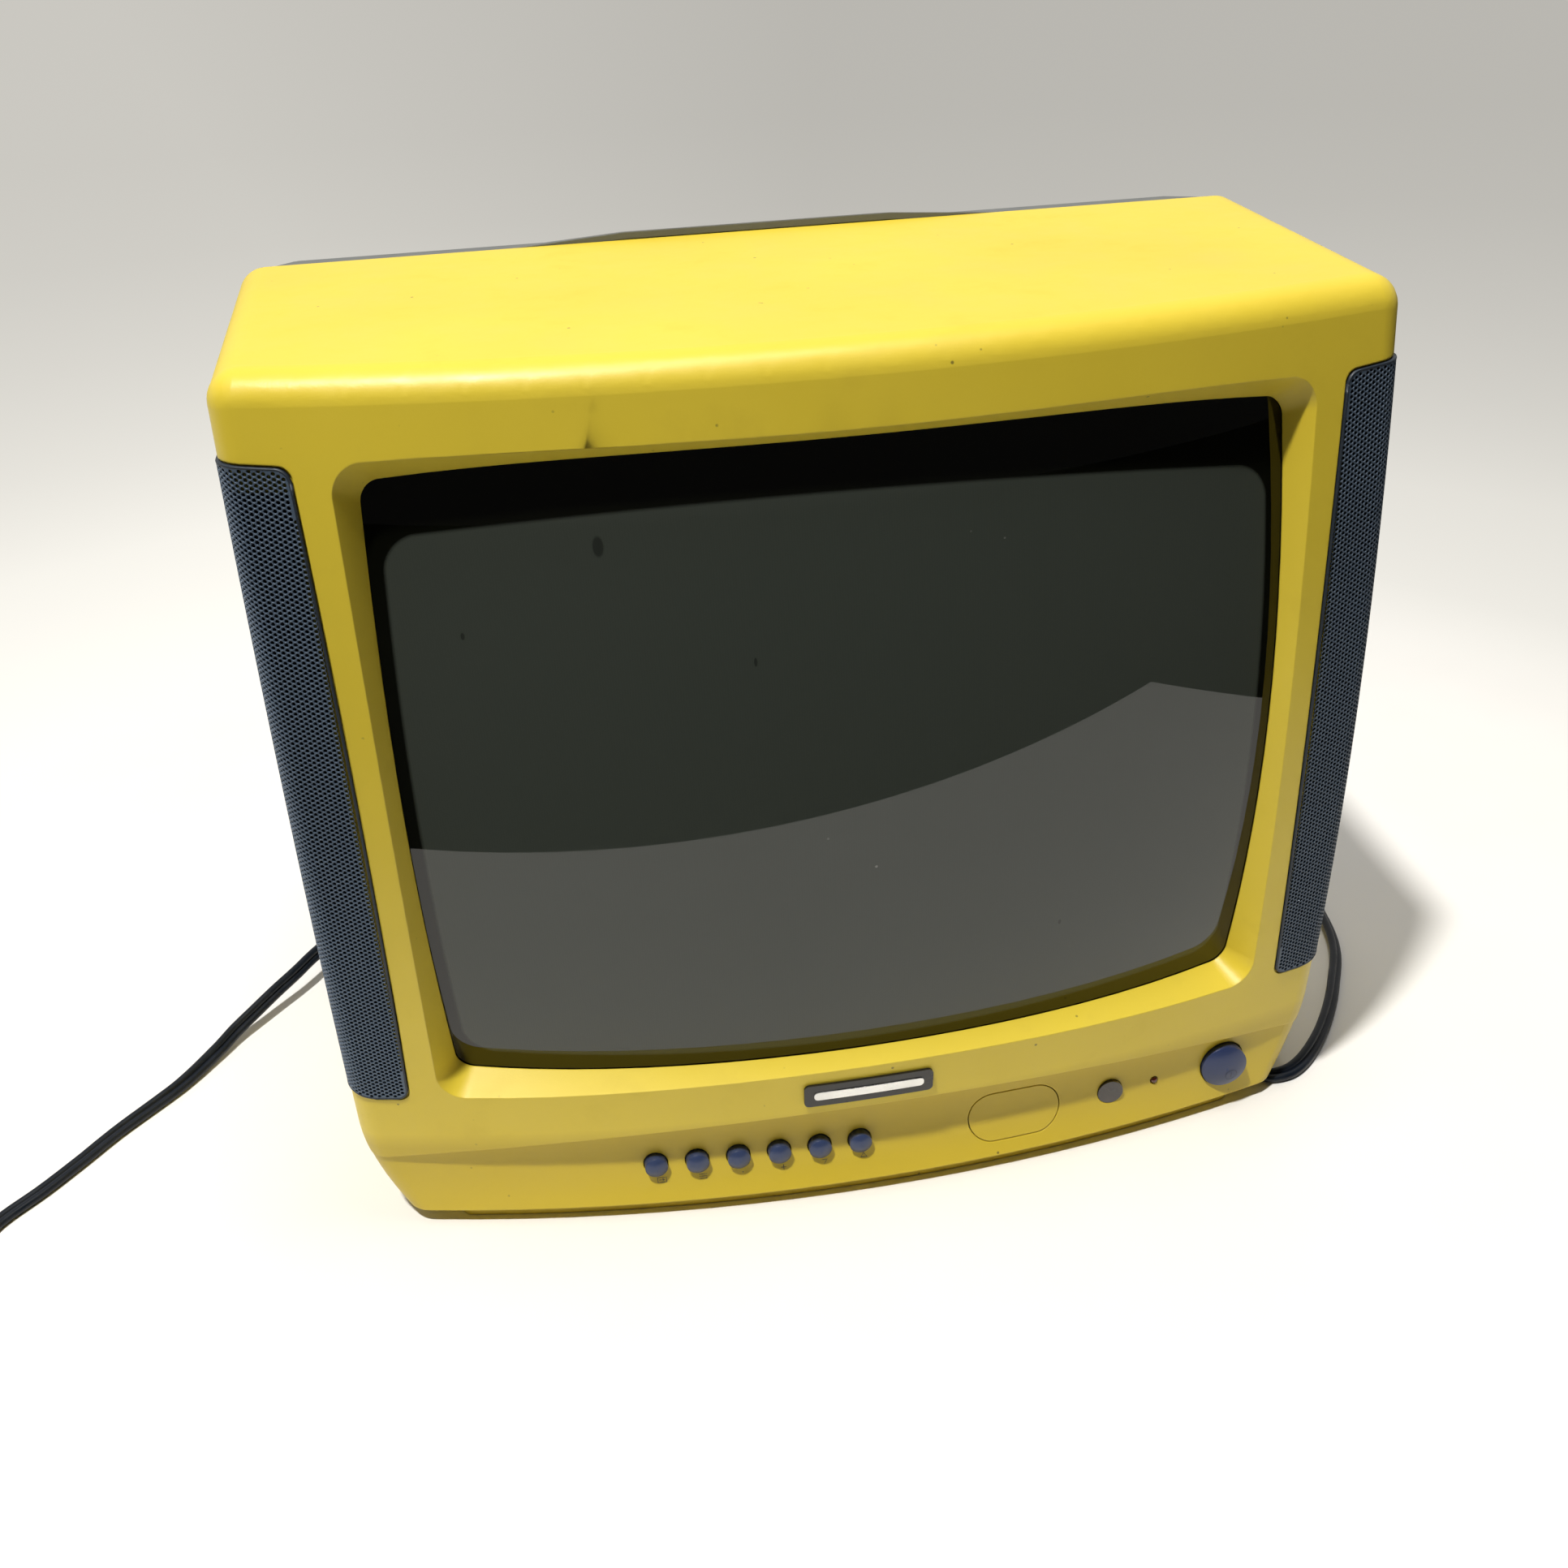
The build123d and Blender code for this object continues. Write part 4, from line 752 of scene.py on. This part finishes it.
# painted shade: a dark sheet behind each grille darkens its holes
hole_shade_material = shade_sheet_surface()
sheet = perforated_sheet()
strip = rim_strip()
for word, side, gap in (("right", 1, 0.0), ("left", -1, 9.0)):
    node = f"{word}_speaker_grille"
    add_grille_part(f"{word}_grille_steel", side, sheet, steels[side], node)
    add_grille_part(f"{word}_grille_edge", side, strip, shaded_fold_steel)
    add_grille_part(f"{word}_grille_shade_sheet", side, backing(gap), hole_shade_material)


# ---------------------------------------------------------------- mains cord

CORE_RADIUS, CORE_OFFSET = 1.6, 1.55       # of each core, and from the cord's middle line
# x, y, height lifted off the table, and how far the flat cord is turned on edge, in degrees
CORD_KNOTS = [
    (92, 350, 34.4, 0), (92, 362, 34.4, 0), (92, 376, 34.4, 0), (92, 392, 24, 0), (92, 402, 9, 0),
    (94, 414, 0, 0), (106, 427, 0, 10), (140, 428, 0, 20), (172, 412, 0, 40), (205, 370, 0, 50),
    (240, 290, 0, 50), (248, 200, 0, 50), (241, 128, 0, 50), (223, 87, 0, 45), (198, 52, 0, 40),
    (176, 36, 0, 20), (160, 48, 0, 0), (130, 110, 0, 0), (40, 175, 0, 0), (-80, 215, 0, 0),
    (-150, 233, 0, 10), (-168, 233, 0.8, 20), (-190, 228, 4.5, 45), (-205, 217, 7.5, 65),
    (-214, 202, 9, 70), (-222, 190, 8, 70), (-230, 180, 6.5, 65), (-238, 170, 4.5, 60),
    (-246, 160, 2.5, 50), (-253, 149, 1, 40), (-266, 130, 0, 20), (-286, 107, 0, 5),
    (-298, 91, 0, 0), (-309, 77, 0, 0), (-320, 65, 0, 0), (-325, 57, 0, 0), (-326, 50.3, 0.15, 0),
]


def through_knots(knots, steps=10):
    """Points of a smooth line (Catmull-Rom) through the knots, a few to each stretch."""
    def between(p, q, r, s, t):
        return q + 0.5 * t * (r - p + t * (2 * p - 5 * q + 4 * r - s + t * (3 * (q - r) + s - p)))

    line = []
    last = len(knots) - 1
    for i in range(last):
        a, b, c, d = (knots[min(max(i + shift, 0), last)] for shift in (-1, 0, 1, 2))
        for step in range(steps):
            line.append([between(*values, step / steps) for values in zip(a, b, c, d)])
    return line + [list(knots[-1])]


def twin_section():
    """Outline of the flat twin cord: two round cores side by side, as (across, up) points."""
    right = [math.radians(angle) for angle in range(-160, 161, 20)]
    side = [(CORE_OFFSET + CORE_RADIUS * math.cos(a), CORE_RADIUS * math.sin(a)) for a in right]
    return side + [(-across, -up) for across, up in side]


def middle_height(lift, turn):
    """Height of the cord's middle line when its lower core is lifted and the cord is turned."""
    return max(lift, 0.0) + CORE_RADIUS + CORE_OFFSET * abs(math.sin(math.radians(turn)))


def twin_cord():
    """The mains cord as one piece, in place of the CAD's two separate cores."""
    line = through_knots(CORD_KNOTS)
    middles = [Vector((x, y, middle_height(lift, turn))) for x, y, lift, turn in line]
    section = twin_section()
    points, faces = [], []
    for i, middle in enumerate(middles):
        along = (middles[min(i + 1, len(middles) - 1)] - middles[max(i - 1, 0)]).normalized()
        level = Vector((along.y, -along.x, 0)).normalized()
        upright = level.cross(along)
        turn = math.radians(line[i][3])
        across = level * math.cos(turn) + upright * math.sin(turn)
        up = upright * math.cos(turn) - level * math.sin(turn)
        for a, b in section:
            points.append(in_frame(*(middle + across * a + up * b)))
    wide = len(section)
    for i in range(len(middles) - 1):
        for k in range(wide):
            j = (k + 1) % wide
            faces.append((i * wide + k, i * wide + j, (i + 1) * wide + j, (i + 1) * wide + k))
    faces.append(tuple(reversed(range(wide))))
    faces.append(tuple(range(len(points) - wide, len(points))))
    black = nodes["mains_cord"].data.materials[0]
    cord = new_piece("mains_cord_twin", points, faces, black)
    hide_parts("mains_cord")


twin_cord()


# ---------------------------------------------------------------- printed symbols

PRINT_PROUD = 0.05         # of the surface below, so that the print shows


def flat_stroke(points, width):
    """Quads along a polyline in the plane, as lists of (x, z) points."""
    quads = []
    for (x0, z0), (x1, z1) in zip(points, points[1:]):
        along = Vector((x1 - x0, z1 - z0)).normalized()
        reach = along * width / 2
        side = Vector((-along.y, along.x)) * width / 2
        start, end = Vector((x0, z0)) - reach, Vector((x1, z1)) + reach
        quads.append([tuple(start - side), tuple(end - side), tuple(end + side), tuple(start + side)])
    return quads


def shifted(quads, x, z):
    return [[(a + x, b + z) for a, b in quad] for quad in quads]


def printed(name, quads, depth_at, material, body=TELEVISION):
    """Thin printed marks that follow a surface whose depth at (x, z) is given, in millimetres."""
    points, faces = [], []
    steps = 6
    for quad in quads:
        (ax, az), (bx, bz), (cx, cz), (dx, dz) = quad
        first = len(points)
        for i in range(steps + 1):
            t = i / steps
            for px, pz, qx, qz in ((ax, az, bx, bz), (dx, dz, cx, cz)):
                x, z = px + (qx - px) * t, pz + (qz - pz) * t
                points.append(in_frame(x, depth_at(x, z) - PRINT_PROUD, z))
        for i in range(steps):
            a = first + 2 * i
            faces.append((a, a + 2, a + 3, a + 1))
    return new_piece(name, points, faces, material, body)


def control_symbols():
    """Plain pictograms under the buttons: input, list, minus, plus, down and up."""
    z = 14.3
    marks = []
    box = [(-1.6, -0.9), (1.6, -0.9), (1.6, 0.9), (-1.6, 0.9), (-1.6, -0.9)]
    marks += shifted(flat_stroke(box, 0.3), -76.0, z)
    marks += shifted(flat_stroke([(-0.9, 0), (0.7, 0)], 0.3), -76.0, z)
    marks += shifted(flat_stroke([(0.2, 0.45), (0.75, 0), (0.2, -0.45)], 0.25), -76.0, z)
    for level in (-0.8, 0, 0.8):
        marks += shifted(flat_stroke([(-1.3, level), (1.3, level)], 0.3), -61.0, z)
    marks += shifted(flat_stroke([(-0.7, 0), (0.7, 0)], 0.35), -45.8, z)
    marks += shifted(flat_stroke([(-0.8, 0), (0.8, 0)], 0.35), -31.3, z)
    marks += shifted(flat_stroke([(0, -0.8), (0, 0.8)], 0.35), -31.3, z)
    triangle = [(-1.1, -0.7), (1.1, -0.7), (0, 0.9), (-1.1, -0.7)]
    marks += shifted(flat_stroke([(x, -y) for x, y in triangle], 0.3), -16.2, z + 0.1)
    marks += shifted(flat_stroke(triangle, 0.3), -1.3, z + 0.4)
    printed("control_symbols", marks, panel_depth, print_ink())


POWER_X, POWER_DOME, POWER_PROUD = 144.0, 20.0, 5.0


def dome_depth(x, z):
    """Depth of the power button's domed front."""
    front = panel_depth(POWER_X, CONTROL_Z) - POWER_PROUD
    away = math.hypot(x - POWER_X, z - CONTROL_Z)
    return front + sag(min(away, 8.9), POWER_DOME)


def standby_symbol():
    """Ring with a bar, on the lower right of the power button."""
    x, z, radius = 146.3, 17.9, 2.35
    ring = [(x + radius * math.sin(math.pi * i / 16), z + radius * math.cos(math.pi * i / 16))
            for i in range(33)]
    marks = flat_stroke(ring, 0.32) + flat_stroke([(x, z - 1.1), (x, z + 1.1)], 0.32)
    printed("standby_symbol", marks, dome_depth, icon_ink(), "power_button")


control_symbols()
standby_symbol()


# ---------------------------------------------------------------- power button spring

def spring_piece():
    """The button's return spring as a coil of wire, in place of the CAD's spring."""
    low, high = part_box("power_button_spring")
    wire, radius, fixed_end_y = 0.00045, 0.0062, 0.024
    turns, sides, steps = 3.5, 10, 84
    centre_x, centre_z = POWER_X * MM, CONTROL_Z * MM
    y0, y1 = low.y + wire, high.y - wire
    points, faces = [], []
    for i in range(steps + 1):
        turn = 2 * math.pi * turns * i / steps
        y = y0 + (y1 - y0) * i / steps
        for k in range(sides):
            angle = 2 * math.pi * k / sides
            reach = radius + wire * math.cos(angle)
            points.append((centre_x + reach * math.cos(turn), y + wire * math.sin(angle),
                           centre_z + reach * math.sin(turn)))
    for i in range(steps):
        for k in range(sides):
            a, b = i * sides + k, i * sides + (k + 1) % sides
            faces.append((a, b, b + sides, a + sides))
    faces.append(tuple(range(sides)))
    faces.append(tuple(range(steps * sides, (steps + 1) * sides)))
    steel = nodes["power_button_spring"].data.materials[0]
    piece = new_piece("return_spring", points, faces, steel)
    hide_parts("power_button_spring")
    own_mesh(piece)


spring_piece()


# ---------------------------------------------------------------- stage, light and camera

TABLE_CORNER = (0.435, -0.384)
TABLE_FRONT_IN = (0.2291, 0.9735)       # across the table's front edge, towards the middle
TABLE_SIDE_IN = (-0.9729, 0.2313)       # across its right edge
ROOM_LIGHT, WALL_LIGHT = 0.035, 0.55
KEY_AWAY = 3.0
KEY_DIRECTION = Vector((-0.300, -0.304, 1.0)).normalized()
KEY_TARGET = Vector((0.0, 0.03, 0.2))


def floor_material():
    """Pale floor. To the camera it fades into a soft grey backdrop; in reflections and bounced
    light it ends at a table edge, with a dark room beyond."""
    s = Surface("stage_floor")
    position = s.node("NewGeometry").outputs["Position"]
    split = s.node("SeparateXYZ", {"Vector": position})
    x, y = split.outputs["X"], split.outputs["Y"]

    def beyond(direction):
        a = s.math("MULTIPLY", s.math("SUBTRACT", x, TABLE_CORNER[0]), direction[0])
        b = s.math("MULTIPLY", s.math("SUBTRACT", y, TABLE_CORNER[1]), direction[1])
        return s.ramp(s.math("ADD", a, b), -0.0005, 0.0005)

    on_table = s.math("MULTIPLY", beyond(TABLE_FRONT_IN), beyond(TABLE_SIDE_IN))
    camera = s.node("LightPath").outputs["Is Camera Ray"]
    lit = s.math("MAXIMUM", camera, on_table)
    mottle = s.ramp(s.noise(4, 4, 0.6), 0.3, 0.7, 0, 1)
    pale = s.mix(mottle, (0.80, 0.79, 0.765), (0.84, 0.83, 0.81))
    shade = s.mix(lit, (0.008, 0.009, 0.008), pale)
    s.set(Base_Color=shade, Roughness=0.7)
    s.shader.inputs["Specular IOR Level"].default_value = 0.1
    # painted light: to the camera the floor away from the object glows as the backdrop, dimmer far off and
    # towards the right
    away = s.math("SQRT", s.math("ADD", s.math("POWER", x, 2.0),
                                 s.math("POWER", s.math("SUBTRACT", y, 0.1), 2.0)))
    share = s.math("DIVIDE", 0.5, away)
    ramp = s.node("ValToRGB", {"Fac": share})
    stops = [(0.0, 0.59), (0.15, 0.60), (0.235, 0.63), (0.336, 0.70),
             (0.46, 0.80), (0.61, 0.95), (0.95, 1.12)]
    elements = ramp.color_ramp.elements
    elements[-1].position = stops[-1][0]
    for place, _ in stops[1:-1]:
        elements.new(place)
    for element, (_, level) in zip(elements, stops):
        element.color = (level, level * 0.972, level * 0.90, 1)
    to_right = s.ramp(s.math("DIVIDE", x, away), -0.20, 0.19, 1.0, 0.82)
    glow = s.node("Emission", {"Color": ramp.outputs["Color"], "Strength": to_right})
    fade = s.math("MULTIPLY", s.ramp(away, 0.46, 0.62), camera)
    blend = s.node("MixShader", {0: fade, 1: s.shader.outputs[0], 2: glow.outputs[0]})
    output = s.tree.nodes["Material Output"]
    s.tree.links.new(blend.outputs[0], output.inputs["Surface"])
    return s.material


def add_floor():
    """A wide disc just under the resting face."""
    sides, radius, height = 64, 40.0, -0.0003
    mesh = bpy.data.meshes.new("floor")
    angles = [2 * math.pi * i / sides for i in range(sides)]
    ring = [(radius * math.cos(angle), radius * math.sin(angle), height) for angle in angles]
    mesh.from_pydata(ring, [], [tuple(range(sides))])
    mesh.materials.append(floor_material())
    floor = bpy.data.objects.new("floor", mesh)
    scene.collection.objects.link(floor)


def add_world():
    """Grey backdrop to the camera; to surfaces and reflections a bright wall behind the object
    and a dark room in front of it."""
    world = bpy.data.worlds.new("room")
    scene.world = world
    world.use_nodes = True
    tree = world.node_tree
    back = tree.nodes["Background"]
    back.inputs["Color"].default_value = (0.50, 0.4875, 0.4575, 1)
    room = tree.nodes.new("ShaderNodeBackground")
    place = tree.nodes.new("ShaderNodeTexCoord")
    split = tree.nodes.new("ShaderNodeSeparateXYZ")
    wall = tree.nodes.new("ShaderNodeMapRange")
    shading = {"From Min": -0.15, "From Max": 0.35, "To Min": ROOM_LIGHT, "To Max": WALL_LIGHT}
    for name, value in shading.items():
        wall.inputs[name].default_value = value
    room.inputs["Color"].default_value = (1.0, 0.98, 0.94, 1)
    path = tree.nodes.new("ShaderNodeLightPath")
    choose = tree.nodes.new("ShaderNodeMixShader")
    link = tree.links.new
    link(place.outputs["Generated"], split.inputs[0])
    link(split.outputs["Y"], wall.inputs["Value"])
    link(wall.outputs["Result"], room.inputs["Strength"])
    link(path.outputs["Is Camera Ray"], choose.inputs[0])
    link(room.outputs[0], choose.inputs[1])
    link(back.outputs[0], choose.inputs[2])
    link(choose.outputs[0], tree.nodes["World Output"].inputs["Surface"])


def area_light(name, place, target, size, power, colour):
    """A round lamp that faces its target."""
    lamp = bpy.data.lights.new(name, "AREA")
    lamp.shape, lamp.size = "DISK", size
    lamp.energy, lamp.color = power, colour
    made = bpy.data.objects.new(name, lamp)
    scene.collection.objects.link(made)
    made.location = place
    made.rotation_mode = "QUATERNION"
    made.rotation_quaternion = (Vector(target) - Vector(place)).to_track_quat("-Z", "Y")


def add_camera():
    """The camera stands close to the set, above it and to its left, and is rolled slightly."""
    data = bpy.data.cameras.new("camera")
    data.lens, data.sensor_width = 37.46, 36.0
    data.clip_start, data.clip_end = 0.01, 100.0
    camera = bpy.data.objects.new("camera", data)
    scene.collection.objects.link(camera)
    right = Vector((0.98357, -0.17563, -0.04167))
    up = Vector((0.11988, 0.46299, 0.87822))
    back = -Vector((0.13495, 0.86879, -0.47644))
    turn = Matrix((right, up, back)).transposed()
    camera.matrix_world = Matrix.Translation((-0.0954, -0.4630, 0.4244)) @ turn.to_4x4()
    scene.camera = camera


add_floor()
add_world()
area_light("key", KEY_TARGET + KEY_DIRECTION * KEY_AWAY, KEY_TARGET, 0.20, 104.0, (1.0, 0.975, 0.93))
area_light("overhead", (0.10, -0.05, 1.8), (0.05, 0.05, 0.2), 0.5, 8.0, (1.0, 0.98, 0.95))
add_camera()
scene.view_settings.view_transform = "Standard"
scene.view_settings.look = "None"
